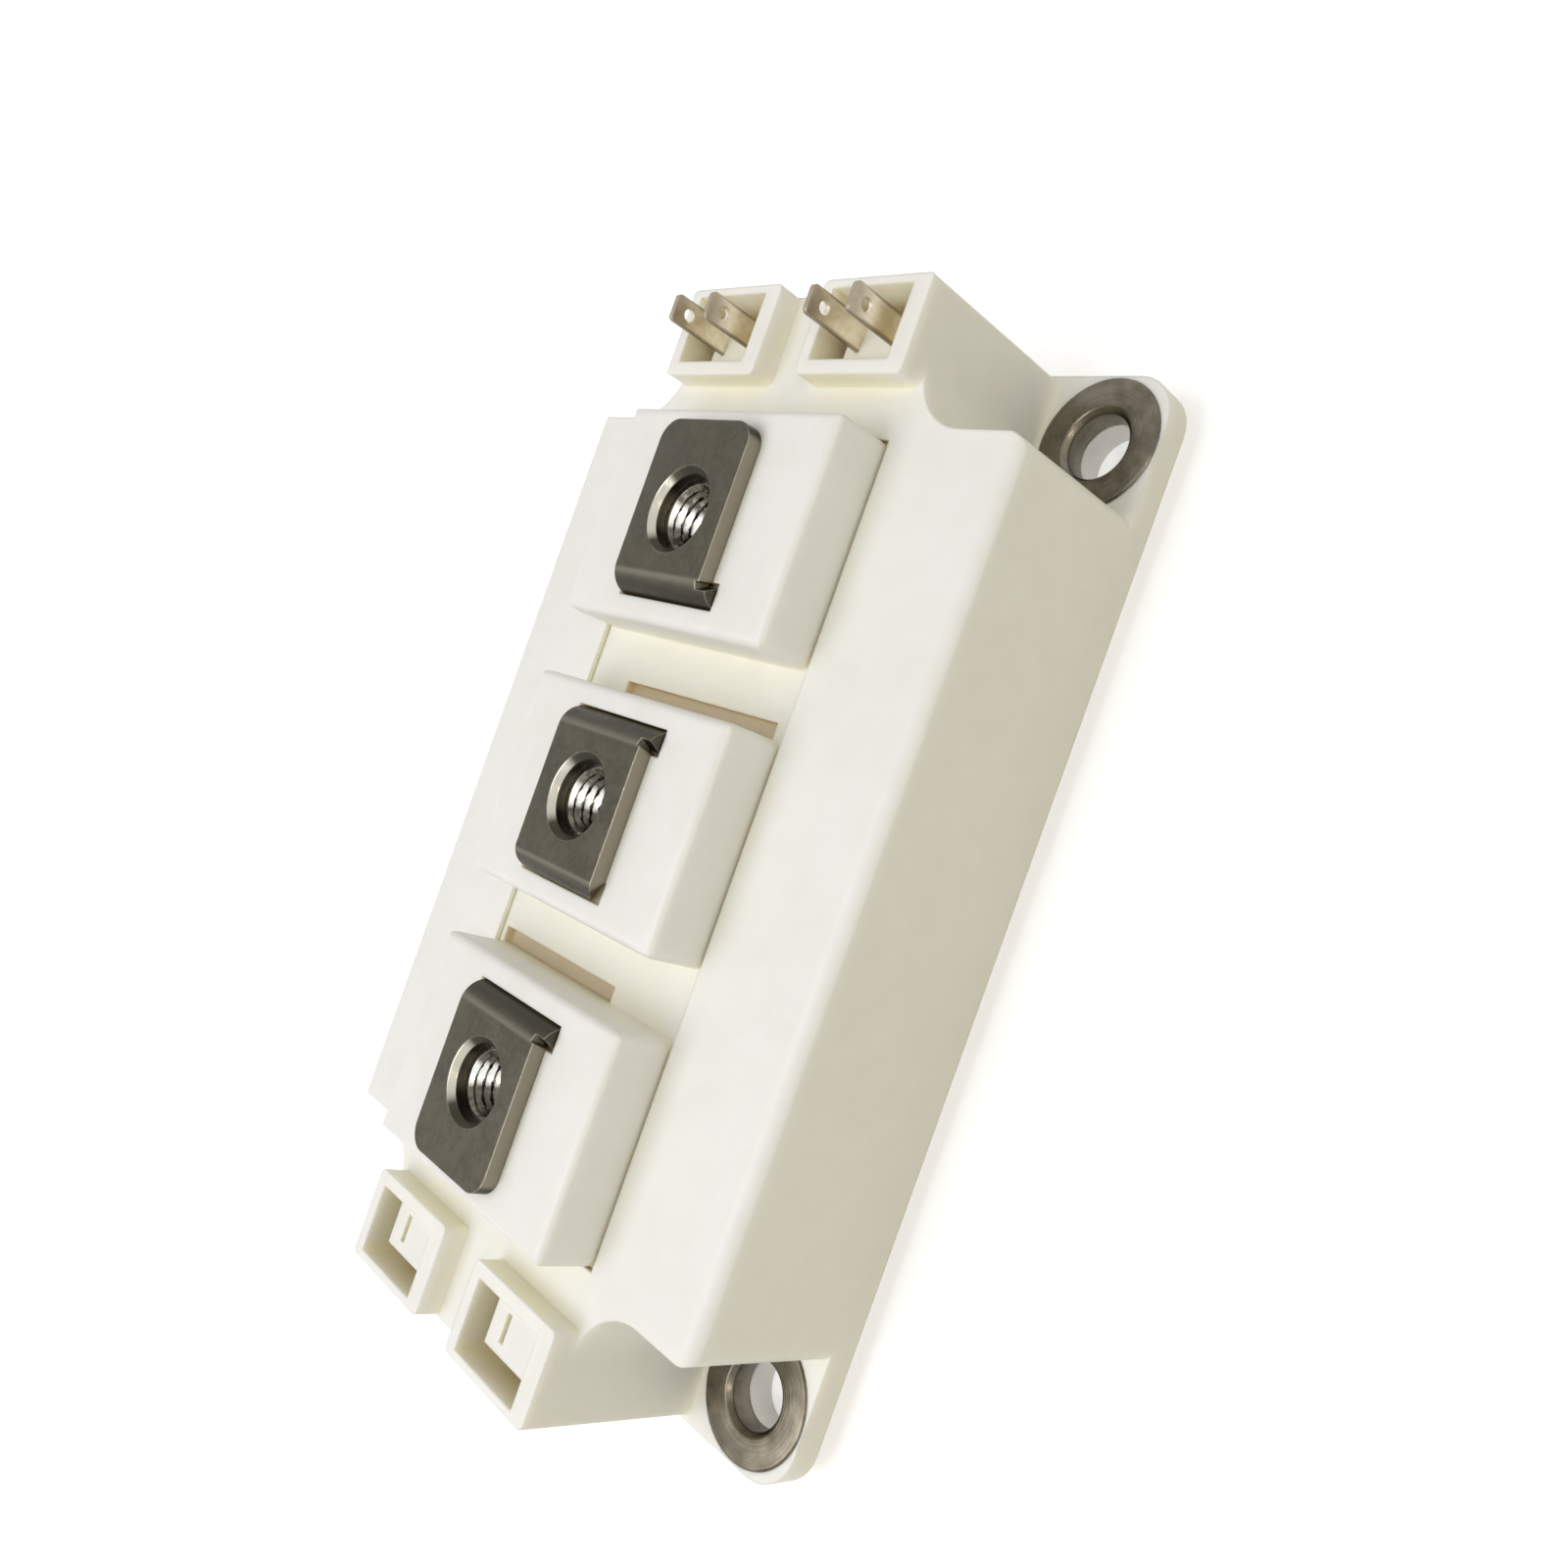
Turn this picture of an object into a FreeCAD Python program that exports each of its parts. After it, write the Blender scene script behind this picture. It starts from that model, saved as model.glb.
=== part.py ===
"""Half-bridge power module in a white moulded case, with three screw terminals.

Frame: millimetres, +Z up, origin at the middle of the base plate's underside.
+X points to the end that carries the four blade tabs.
"""
import FreeCAD, Part
import math
import os

Vector = FreeCAD.Vector
ACROSS = Vector(0, 1, 0)
LENGTHWISE = Vector(1, 0, 0)

# Outline and mounting pattern
case_length = 106.4
case_width = 61.4
hole_margin = 6.7
mounting_bore = 6.4

# Base plate
base_thickness = 3.0
base_inset = 2.0
base_let_in = 0.5
base_corner_radius = 3.0

# Moulded case
lug_height = 3.1
lug_corner_radius = 4.5
deck_height = 20.0
deck_edge_radius = 1.8
deck_thickness = 3.4
case_wall = 2.4
screw_room_end = 6.5
screw_room_side = 7.0
screw_room_radius = 6.5
end_setback = 0.4

# Blade sockets, two at each end
socket_length = 9.2
socket_gap = 6.1
socket_rim_height = 2.6
socket_wall = 1.4
socket_near_wall = 2.2
socket_end_wall = 0.8
socket_depth = 7.0
socket_floor = 1.6
socket_corner_radius = 0.6
blank_island_drop = 1.0
blank_end_channel = 2.1
blank_side_channel = 2.5
blade_island_drop = 2.8
blade_island_channel = 1.3
blind_slot_length = 2.8
blind_slot_width = 0.6
blind_slot_shift = 0.8
blind_slot_depth = 2.2

# Terminal cover and its three blocks
block_length = 21.4
block_end_margin = 1.3
block_width = 31.0
block_height = 5.9
block_edge_radius = 1.1
cover_sink = 0.5
cover_thickness = 1.6
cover_margin = 0.2
cover_gap = 0.05
cover_ledge = 2.2
groove_width = 1.6
groove_depth = 1.0
middle_groove_margins = (1.5, 6.0)
end_groove_margins = (10.5, 0.5)
boss_wall = 1.8

# Captive nuts
nut_across_flats = 10.0
nut_height = 5.0
nut_bore = 5.0
nut_play = 0.15
screw_tip_bore = 7.0
screw_tip_room = 6.0

# Main terminals
strip_thickness = 1.6
plate_width = 13.2
plate_reach = 8.7
plate_to_bend = 5.8
bend_outer_radius = 2.5
bend_shoulder = 0.9
plate_corner_radius = 2.2
lip_reach = 8.3
lip_radius = 2.0
lip_gap = 0.3
plate_bore = 7.3
plate_bore_chamfer = 0.6
relief_depth = 0.5
relief_start = 0.5
relief_end = 1.2
relief_drop = 1.8
riser_depth = 8.6
leg_width = 6.0
foot_length = 3.2
slot_play = 0.12

# Steel bushes in the lugs
bush_flange_diameter = 13.0
bush_flange_height = 1.3
bush_body_diameter = 9.6
bush_proud = 0.2

# Blade tabs
blade_width = 2.8
blade_thickness = 0.5
blade_proud = 4.5
blade_offset = 0.3
blade_spacing = 5.5
blade_hole = 1.2
blade_hole_drop = 1.9
blade_tip_chamfer = 0.4
arm_height = 2.4
arm_above_substrate = 4.0
arm_foot = 1.6

# Substrates and chips
copper_thickness = 0.3
ceramic_thickness = 0.6
substrate_margin = 1.7
substrate_width = 46.0
substrate_gap = 2.6
copper_border = 1.0
track_gap = 1.0
pad_length = 3.1
pad_width = 3.0
pad_clearance = 1.2
chip_thickness = 0.2
igbt_side = 11.0
diode_side = 7.0
chip_spacing = 17.2
chip_border = 0.6
chip_gap = 0.7
gate_inset = 1.6

# Bond wires, bridges, leads and gel
wire_side = 0.45
wire_foot = 1.4
wire_rise = 1.9
wire_slope = 1.6
hop_rise = 0.5
hop_slope = 0.4
bridge_place = 17.5
bridge_width = 4.4
bridge_thickness = 0.8
bridge_rise = 3.4
bridge_foot = 2.8
bridge_slope = 2.4
lead_side = 1.0
lead_wall_gap = 3.2
lead_drop = 2.2
gel_depth = 10.5

# Levels and places that follow from the sizes above
case_bottom = base_thickness - base_let_in
lug_top = case_bottom + lug_height
deck_top = case_bottom + deck_height
cavity_top = deck_top - deck_thickness
rim_top = deck_top + socket_rim_height
blank_island_top = rim_top - blank_island_drop
socket_bottom = rim_top - socket_depth
cover_floor = deck_top - cover_sink
cover_bottom = cover_floor - cover_thickness
block_top = deck_top + block_height
terminal_top = block_top + strip_thickness
nut_seat = block_top - nut_height
screw_tip_end = nut_seat - screw_tip_room
boss_bottom = screw_tip_end - boss_wall
copper_top = base_thickness + 2 * copper_thickness + ceramic_thickness
chip_top = copper_top + chip_thickness
gel_top = base_thickness + gel_depth

hole_x = case_length / 2 - hole_margin
hole_y = case_width / 2 - hole_margin
wide_end = hole_x - screw_room_end
end_half_width = hole_y - screw_room_side
socket_outer = case_length / 2 - end_setback
socket_inner = socket_outer - socket_length
socket_width = end_half_width - socket_gap / 2
cavity_half_length = wide_end - case_wall
cavity_half_width = case_width / 2 - case_wall
end_cavity_top = socket_bottom - socket_floor
terminal_pitch = wide_end - block_end_margin - block_length / 2
cover_half_length = terminal_pitch + block_length / 2
cover_half_width = block_width / 2 + cover_margin
riser_outer = plate_to_bend + bend_outer_radius
riser_inner = riser_outer - strip_thickness
riser_bottom = block_top - riser_depth
socket_centre = (socket_inner + socket_outer) / 2
blade_x = socket_centre + blade_offset
blade_tip = rim_top + blade_proud
arm_bottom = copper_top + arm_above_substrate
socket_middle = (end_half_width + socket_gap / 2) / 2
substrate_start = substrate_gap / 2
substrate_end = cavity_half_length - substrate_margin
collector_end = substrate_end - copper_border
track_half_width = substrate_width / 2 - copper_border
pad_start = collector_end - pad_length
igbt_end = pad_start - pad_clearance
igbt_start = igbt_end - igbt_side
diode_start = igbt_start - chip_gap - diode_side
collector_start = diode_start - chip_border
emitter_start = substrate_start + copper_border
emitter_end = collector_start - track_gap
gate_place = socket_middle - blade_spacing / 2
sense_place = socket_middle + blade_spacing / 2
lead_level = gel_top - 1.5 * lead_side

# Islands by end: drop below the rim, channel along the end wall, channel along the +Y wall
ISLANDS = {
    1: (blade_island_drop, blade_island_channel, blade_island_channel),
    -1: (blank_island_drop, blank_end_channel, blank_side_channel),
}

# Terminals: name, middle, side of the bend, direction of the foot along X, end rolled down
TERMINALS = (
    ("main_terminal_1", terminal_pitch, -1, -1, False),
    ("main_terminal_2", 0.0, 1, -1, True),
    ("main_terminal_3", -terminal_pitch, 1, 1, False),
)

# Blade tabs: name and place across the module
BLADES = (
    ("gate_tab_1", -gate_place),
    ("sense_tab_1", -sense_place),
    ("gate_tab_2", gate_place),
    ("sense_tab_2", sense_place),
)


def block(x_range, y_range, z_range):
    """Box between three pairs of limits, given in any order."""
    lows = [min(pair) for pair in (x_range, y_range, z_range)]
    sizes = [abs(pair[1] - pair[0]) for pair in (x_range, y_range, z_range)]
    return Part.makeBox(*sizes, Vector(*lows))


def centred(half_x, half_y, z_range, middle=(0.0, 0.0)):
    """Box centred on a point of the plan."""
    x, y = middle
    return block((x - half_x, x + half_x), (y - half_y, y + half_y), z_range)


def post(diameter, z_range, middle=(0.0, 0.0)):
    """Upright cylinder between two levels."""
    low, high = min(z_range), max(z_range)
    return Part.makeCylinder(diameter / 2, high - low, Vector(*middle, low))


def slab(points, z_range):
    """Plate with a polygonal plan between two levels."""
    low, high = min(z_range), max(z_range)
    corners = [Vector(x, y, low) for x, y in points]
    face = Part.Face(Part.makePolygon(corners + corners[:1]))
    return face.extrude(Vector(0, 0, high - low))


def side_slab(points, y_range):
    """Plate with a polygon in the X-Z plane, between two places across the module."""
    low, high = min(y_range), max(y_range)
    corners = [Vector(x, low, z) for x, z in points]
    face = Part.Face(Part.makePolygon(corners + corners[:1]))
    return face.extrude(Vector(0, high - low, 0))


def upright_edges(shape, keep):
    """Vertical straight edges whose middle point passes the test."""
    chosen = []
    for edge in shape.Edges:
        middle = edge.CenterOfMass
        if isinstance(edge.Curve, Part.Line) and abs(edge.tangentAt(edge.FirstParameter).z) > 0.99:
            if keep(middle):
                chosen.append(edge)
    return chosen


def level_edges(shape, height, keep=lambda middle: True):
    """Edges that lie at one height and pass the test."""
    chosen = []
    for edge in shape.Edges:
        box = edge.BoundBox
        if abs(box.ZMin - height) < 1e-4 and abs(box.ZMax - height) < 1e-4 and keep(edge.CenterOfMass):
            chosen.append(edge)
    return chosen


def arched_box(half_x, half_y, z_range, radius, way, middle=(0.0, 0.0)):
    """Box whose two upper edges that run the given way are rounded."""
    form = centred(half_x, half_y, z_range, middle)
    rims = [edge for edge in level_edges(form, max(z_range)) if abs(edge.tangentAt(0) * way) > 0.99]
    return form.makeFillet(radius, rims)


def fuse_all(shapes):
    """One solid from touching shapes, with its split faces joined."""
    first, *rest = shapes
    return first.fuse(rest).removeSplitter() if rest else first


def four_corners(x, y):
    """Plan points at the four corners of a rectangle."""
    return [(sx * x, sy * y) for sx in (1, -1) for sy in (1, -1)]


def cross_plan(half_long, half_wide, half_end, half_full):
    """Plan of the tall part: a wide middle with a narrower tongue at each end."""
    return [
        (half_long, half_end), (half_full, half_end), (half_full, half_wide), (-half_full, half_wide),
        (-half_full, half_end), (-half_long, half_end), (-half_long, -half_end), (-half_full, -half_end),
        (-half_full, -half_wide), (half_full, -half_wide), (half_full, -half_end), (half_long, -half_end),
    ]


def case_body():
    """Outer form: lugs at the corners and the deck between them, edges rounded."""
    foot = centred(case_length / 2, case_width / 2, (case_bottom, lug_top))
    foot = foot.makeFillet(lug_corner_radius, upright_edges(foot, lambda m: True))
    tall = slab(cross_plan(socket_outer, case_width / 2, end_half_width, wide_end), (case_bottom, deck_top))
    corner = (wide_end, end_half_width)
    inner = upright_edges(tall, lambda m: math.dist((abs(m.x), abs(m.y)), corner) < 0.01)
    tall = tall.makeFillet(screw_room_radius, inner)
    outer = upright_edges(tall, lambda m: abs(abs(m.y) - case_width / 2) < 0.01)
    tall = tall.makeFillet(deck_edge_radius, outer)
    tips = upright_edges(tall, lambda m: abs(abs(m.x) - socket_outer) < 0.01)
    tall = tall.makeFillet(socket_corner_radius, tips)
    size = (case_length / 2, case_width / 2, (case_bottom, deck_top), deck_edge_radius)
    return tall.common(arched_box(*size, LENGTHWISE)).fuse(foot)


def socket_collar(side, row):
    """Raised rim round one blade socket, from the deck up."""
    middle = (side * socket_centre, row * socket_middle)
    collar = centred(socket_length / 2, socket_width / 2, (deck_top - deck_edge_radius, rim_top), middle)
    return collar.makeFillet(socket_corner_radius, upright_edges(collar, lambda m: True))


def socket_recess(side, row):
    """Space in one blade socket: a channel round two sides of an island, deeper where blades stand."""
    inner = socket_inner + socket_wall
    outer = socket_outer - socket_end_wall
    near = row * socket_middle - socket_width / 2 + socket_near_wall
    far = row * socket_middle + socket_width / 2 - socket_wall
    space = block((side * inner, side * outer), (near, far), (socket_bottom, rim_top))
    drop, end_channel, side_channel = ISLANDS[side]
    island_x = (side * inner, side * (outer - end_channel))
    return space.cut(block(island_x, (near, far - side_channel), (socket_bottom, rim_top - drop)))


def blind_slot(row):
    """Shallow slot in the island of a socket that carries no blade."""
    island_ends = (socket_inner + socket_wall, socket_outer - socket_end_wall - blank_end_channel)
    middle = (-sum(island_ends) / 2, row * socket_middle + blind_slot_shift)
    depth = (blank_island_top - blind_slot_depth, blank_island_top)
    return centred(blind_slot_length / 2, blind_slot_width / 2, depth, middle)


def case_cavity():
    """Inside of the case: the room over the substrates and under the sockets."""
    room = centred(cavity_half_length, cavity_half_width, (case_bottom, cavity_top))
    ends = centred(socket_outer - case_wall, end_half_width - case_wall, (case_bottom, end_cavity_top))
    return room.fuse(ends)


def bush_seat(middle):
    """Stepped bore in a lug that takes a steel bush."""
    step = lug_top + bush_proud - bush_flange_height
    body = post(bush_body_diameter, (case_bottom, lug_top), middle)
    return body.fuse(post(bush_flange_diameter, (step, lug_top + bush_proud), middle))


def base_seat():
    """Shallow recess under the case that takes the base plate."""
    return base_outline((case_bottom, base_thickness))


def base_outline(z_range):
    """Plan of the base plate between two levels."""
    plan = centred(case_length / 2 - base_inset, case_width / 2 - base_inset, z_range)
    return plan.makeFillet(base_corner_radius, upright_edges(plan, lambda m: True))


def cover_seat():
    """Opening in the deck with a ledge that carries the terminal cover."""
    half_x = cover_half_length + cover_gap
    half_y = cover_half_width + cover_gap
    rebate = centred(half_x, half_y, (cover_bottom, deck_top))
    opening = centred(half_x - cover_ledge, half_y - cover_ledge, (end_cavity_top, deck_top))
    return rebate.fuse(opening)


def moulded_case(tabs):
    """White case: deck, lugs, sockets and cavity in one moulding, formed round the tabs."""
    body = case_body()
    sides = [(side, row) for side in (1, -1) for row in (1, -1)]
    body = body.fuse([socket_collar(side, row) for side, row in sides]).removeSplitter()
    cuts = [socket_recess(side, row) for side, row in sides]
    cuts += [blind_slot(row) for row in (1, -1)]
    cuts += [bush_seat(middle) for middle in four_corners(hole_x, hole_y)]
    cuts += [case_cavity(), base_seat(), cover_seat()]
    return body.cut(cuts).cut(tabs)


def base_plate():
    """Nickel-plated copper plate with four holes."""
    plate = base_outline((0, base_thickness))
    holes = [post(mounting_bore, (0, base_thickness), middle) for middle in four_corners(hole_x, hole_y)]
    return plate.cut(holes)


def mounting_bush(middle):
    """Flanged steel bush that takes the clamping force of one screw."""
    top = lug_top + bush_proud
    flange = post(bush_flange_diameter, (top - bush_flange_height, top), middle)
    bush = flange.fuse(post(bush_body_diameter, (base_thickness, top), middle)).removeSplitter()
    return bush.cut(post(mounting_bore, (base_thickness, top), middle))


def hexagon(across_flats, z_range, middle):
    """Hexagonal prism with two flats square to X."""
    radius = across_flats / math.sqrt(3)
    turns = [math.radians(60 * k + 30) for k in range(6)]
    corners = [(middle[0] + radius * math.cos(a), middle[1] + radius * math.sin(a)) for a in turns]
    return slab(corners, z_range)


def terminal_block(middle_x):
    """One raised block of the cover, its top and upright edges rounded."""
    size = (block_length / 2, block_width / 2, (cover_bottom, block_top), block_edge_radius)
    plan = centred(*size[:3], (middle_x, 0))
    plan = plan.makeFillet(block_edge_radius, upright_edges(plan, lambda m: True))
    for run in (LENGTHWISE, ACROSS):
        plan = plan.common(arched_box(*size, run, (middle_x, 0)))
    return plan


def riser_slot(middle_x, side):
    """Slot through a block for the riser of its terminal, wider under the bend."""
    inner = middle_x + side * (riser_inner - slot_play)
    outer = middle_x + side * (riser_outer + slot_play)
    rows = (-plate_width / 2 - bend_shoulder - slot_play, plate_width / 2 + slot_play)
    slot = block((inner, outer), rows, (cover_bottom, block_top))
    bend_start = middle_x + side * plate_to_bend
    bend_room = block((bend_start, outer), rows, (terminal_top - bend_outer_radius, block_top))
    return slot.fuse(bend_room)


def lip_recess(middle_x, side):
    """Shallow recess in a block under the rolled end of its terminal."""
    reach = (middle_x - side * (lip_reach + slot_play), middle_x - side * (lip_reach - lip_radius))
    half = plate_width / 2 + slot_play
    return block(reach, (-half, half), (terminal_top - lip_radius - lip_gap, block_top))


def nut_pocket(middle_x):
    """Hexagonal pocket for the nut and the blind bore under it for the screw's tip."""
    pocket = hexagon(nut_across_flats + 2 * nut_play, (nut_seat, block_top), (middle_x, 0))
    return pocket.fuse(post(screw_tip_bore, (screw_tip_end, nut_seat), (middle_x, 0)))


def creepage_groove(middle_x, margins):
    """Groove in the cover's floor at the foot of a block, on its +X side, short of the block's ends."""
    start = middle_x + block_length / 2
    rows = (margins[0] - block_width / 2, block_width / 2 - margins[1])
    return block((start, start + groove_width), rows, (cover_floor - groove_depth, cover_floor))


def terminal_cover():
    """Cover with three blocks, seated on the ledge of the case."""
    floor = centred(cover_half_length, cover_half_width, (cover_bottom, cover_floor))
    places = [middle for _, middle, _, _, _ in TERMINALS]
    boss_half = screw_tip_bore / 2 + boss_wall
    bosses = [centred(boss_half, boss_half, (boss_bottom, cover_bottom), (x, 0)) for x in places]
    cover = fuse_all([floor] + [terminal_block(x) for x in places] + bosses)
    cuts = [nut_pocket(x) for x in places]
    cuts.append(creepage_groove(0.0, middle_groove_margins))
    cuts.append(creepage_groove(-terminal_pitch, end_groove_margins))
    cuts += [riser_slot(middle, side) for _, middle, side, _, _ in TERMINALS]
    cuts += [lip_recess(middle, side) for _, middle, side, _, rolled in TERMINALS if rolled]
    return cover.cut(cuts)


def terminal_nut(middle_x):
    """Captive hexagon nut with its thread bore, its top level with the block."""
    blank = hexagon(nut_across_flats, (nut_seat, block_top), (middle_x, 0))
    return blank.cut(post(nut_bore, (nut_seat, block_top), (middle_x, 0)))


def quarter_bend(centre, outer_radius, thickness, y_range, turn):
    """Quarter of a bent strip about an axis across the module, turned in steps of 90 degrees."""
    low, high = min(y_range), max(y_range)
    place = Vector(centre[0], low, centre[1])
    ring = Part.makeCylinder(outer_radius, high - low, place, ACROSS)
    ring = ring.cut(Part.makeCylinder(outer_radius - thickness, high - low, place, ACROSS))
    reach = 2 * outer_radius
    quarter = block((0, reach), (low, high), (0, reach))
    quarter.rotate(Vector(0, 0, 0), ACROSS, -90 * turn)
    quarter.translate(Vector(centre[0], 0, centre[1]))
    return ring.common(quarter)


def contact_plate(side, rolled):
    """Flat contact of a terminal drawn about its bore, its bent side towards +X or -X."""
    half = plate_width / 2
    reach = lip_reach if rolled else plate_reach
    flat_end = reach - lip_radius if rolled else reach
    plate = block((-side * flat_end, side * plate_to_bend), (-half, half), (block_top, terminal_top))
    if rolled:
        centre = (-side * flat_end, terminal_top - lip_radius)
        lip = quarter_bend(centre, lip_radius, strip_thickness, (-half, half), 1 if side > 0 else 0)
        plate = plate.fuse(lip)
    plan = block((-side * reach, side * plate_to_bend), (-half, half), (nut_seat, terminal_top))
    plan = plan.makeFillet(plate_corner_radius, upright_edges(plan, lambda m: m.x * side < 0))
    plate = plate.common(plan).cut(post(plate_bore, (block_top, terminal_top)))
    rim = [edge for edge in level_edges(plate, terminal_top) if isinstance(edge.Curve, Part.Circle)
           and abs(edge.Curve.Radius - plate_bore / 2) < 1e-4]
    return plate.makeChamfer(plate_bore_chamfer, rim)


def bend_relief(side):
    """Notch at the edge of the bend, between the contact plate and the wider riser."""
    far = -plate_width / 2 + relief_depth
    near = -plate_width / 2 - bend_shoulder
    levels = (terminal_top - relief_drop, terminal_top)
    end = side * (plate_to_bend + relief_end)
    notch = block((side * (plate_to_bend + relief_start), end), (near, far), levels)
    edge = block((side * plate_to_bend, end), (near, -plate_width / 2), levels)
    return notch.fuse(edge)


def main_terminal(middle_x, side, foot_side, rolled):
    """Bent copper strip: contact plate, bend, riser, narrow leg and soldered foot."""
    wide = (-plate_width / 2 - bend_shoulder, plate_width / 2)
    narrow = (-leg_width / 2, leg_width / 2)
    bend_centre = (side * plate_to_bend, terminal_top - bend_outer_radius)
    upper = quarter_bend(bend_centre, bend_outer_radius, strip_thickness, wide, 0 if side > 0 else 1)
    riser_x = (side * riser_inner, side * riser_outer)
    riser = block(riser_x, wide, (riser_bottom, terminal_top - bend_outer_radius))
    foot_top = copper_top + bend_outer_radius
    leg = block(riser_x, narrow, (foot_top, riser_bottom))
    leg_face = side * (riser_inner if foot_side == side else riser_outer)
    foot_centre_x = leg_face + foot_side * bend_outer_radius
    foot_turn = 2 if foot_side > 0 else 3
    lower = quarter_bend((foot_centre_x, foot_top), bend_outer_radius, strip_thickness, narrow, foot_turn)
    foot_x = (foot_centre_x, foot_centre_x + foot_side * foot_length)
    foot = block(foot_x, narrow, (copper_top, copper_top + strip_thickness))
    strip = fuse_all([contact_plate(side, rolled), upper, riser, leg, lower, foot])
    terminal = strip.cut(bend_relief(side))
    terminal.translate(Vector(middle_x, 0, 0))
    return terminal


def blade_outline():
    """Outline of a tab in the X-Z plane: blade, shank and the arm that runs inward to a pad."""
    half = blade_width / 2
    tip = blade_tip_chamfer
    arm_top = arm_bottom + arm_height
    leg = (collector_end - arm_foot, collector_end)
    return [
        (blade_x - half, arm_top), (blade_x - half, blade_tip - tip), (blade_x - half + tip, blade_tip),
        (blade_x + half - tip, blade_tip), (blade_x + half, blade_tip - tip), (blade_x + half, arm_bottom),
        (leg[1], arm_bottom), (leg[1], copper_top), (leg[0], copper_top), (leg[0], arm_top),
    ]


def blade_tab(middle_y):
    """Stamped tab with a small hole near its tip and its leg on a copper pad."""
    half = blade_thickness / 2
    tab = side_slab(blade_outline(), (middle_y - half, middle_y + half))
    hole_place = Vector(blade_x, middle_y - half, blade_tip - blade_hole_drop)
    return tab.cut(Part.makeCylinder(blade_hole / 2, blade_thickness, hole_place, ACROSS))


def substrate_layer(side, border, z_range):
    """One full layer of a substrate on the side of the middle, less a border."""
    span = (side * (substrate_start + border), side * (substrate_end - border))
    half = substrate_width / 2 - border
    return block(span, (-half, half), z_range)


def pad_rows(side):
    """Limits across the module of the control pads on a substrate."""
    half = pad_width / 2
    rows = [(-gate_place - half, chip_spacing / 2 - igbt_side / 2 + gate_inset + half / 2)]
    rows.append((-sense_place - half, -sense_place + half))
    if side > 0:
        rows += [(place - half, place + half) for place in (gate_place, sense_place)]
    return rows


def substrate_tracks(side):
    """Top copper of a substrate: emitter track, collector field and control pads."""
    level = (copper_top - copper_thickness, copper_top)
    rows = pad_rows(side)
    full_y = (-track_half_width, track_half_width)
    emitter = block((side * emitter_start, side * emitter_end), full_y, level)
    field = block((side * collector_start, side * collector_end), full_y, level)
    room_x = (side * (pad_start - track_gap), side * collector_end)
    room_y = (min(low for low, _ in rows) - track_gap, max(high for _, high in rows) + track_gap)
    field = field.cut(block(room_x, room_y, level))
    pads = [block((side * pad_start, side * collector_end), row, level) for row in rows]
    return Part.makeCompound([emitter, field] + pads)


def chip_row(side, start, length):
    """Two square chips of one kind on the collector field of a substrate."""
    span = (side * start, side * (start + length))
    level = (copper_top, chip_top)
    half = length / 2
    places = (chip_spacing / 2, -chip_spacing / 2)
    return Part.makeCompound([block(span, (y - half, y + half), level) for y in places])


def bonded_strip(stations, foot, slope, thickness, rise, y_range):
    """Wire or bridge that lands flat on each station and rises in a flat-topped loop between them."""
    half = foot / 2
    path = [(stations[0][0] - half, stations[0][1])]
    for (x0, z0), (x1, z1) in zip(stations, stations[1:]):
        level = max(z0, z1) + rise
        start, end = x0 + half, x1 - half
        path += [(start, z0), (start + slope, level), (end - slope, level), (end, z1)]
    path.append((stations[-1][0] + half, stations[-1][1]))
    upper = [(x, z + thickness) for x, z in reversed(path)]
    return side_slab(path + upper, y_range)


def in_order(side, stations):
    """Stations on the side of the middle, ordered from low X to high X."""
    return sorted((side * x, z) for x, z in stations)


def bond_wires(side):
    """Stitched emitter wires and the gate and sense wires of one substrate."""
    half = wire_side / 2
    chain = [
        (emitter_end - wire_foot, copper_top),
        (diode_start + diode_side / 2, chip_top),
        (igbt_start + igbt_side / 2, chip_top),
    ]
    hop = [(igbt_end - gate_inset, chip_top), (pad_start + wire_foot / 2, copper_top)]
    inner_edge = chip_spacing / 2 - igbt_side / 2 + gate_inset
    wires = []
    for place in (chip_spacing / 2, -chip_spacing / 2):
        rows = (place - half, place + half)
        wires.append(bonded_strip(in_order(side, chain), wire_foot, wire_slope, wire_side, wire_rise, rows))
    for place in (inner_edge, -inner_edge, -sense_place):
        rows = (place - half, place + half)
        wires.append(bonded_strip(in_order(side, hop), wire_foot, hop_slope, wire_side, hop_rise, rows))
    return Part.makeCompound(wires)


def link_bridge(row):
    """Copper bridge from the emitter track of one substrate to the collector field of the other."""
    start = (-emitter_start - bridge_foot / 2, copper_top)
    end = (collector_start + bridge_foot / 2, copper_top)
    middle = row * bridge_place
    rows = (middle - bridge_width / 2, middle + bridge_width / 2)
    return bonded_strip([start, end], bridge_foot, bridge_slope, bridge_thickness, bridge_rise, rows)


def mitred_lead(points):
    """Square lead along straight runs that meet in mitred corners."""
    path = Part.makePolygon([Vector(*point) for point in points])
    half = lead_side / 2
    corners = [(half, half), (-half, half), (-half, -half), (half, -half), (half, half)]
    section = Part.makePolygon([Vector(*points[0]) + Vector(x, y, 0) for x, y in corners])
    return path.makePipeShell([section], True, False, 1)


def control_lead(start_y, end_y, level, wall_gap, end_x):
    """Lead from a relay pad on the first substrate to a control pad on the second."""
    start_x = pad_start + lead_side / 2
    wall_y = cavity_half_width - wall_gap
    return mitred_lead([
        (start_x, start_y, copper_top), (start_x, start_y, level), (start_x, wall_y, level),
        (-end_x, wall_y, level), (-end_x, end_y, level), (-end_x, end_y, copper_top),
    ])


def silicone_gel(inner_parts):
    """Soft filling over the substrates, cast round everything that stands in it."""
    room = case_cavity()
    level = centred(case_length / 2, case_width / 2, (base_thickness, gel_top))
    return room.common(level).cut(inner_parts)


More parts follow.
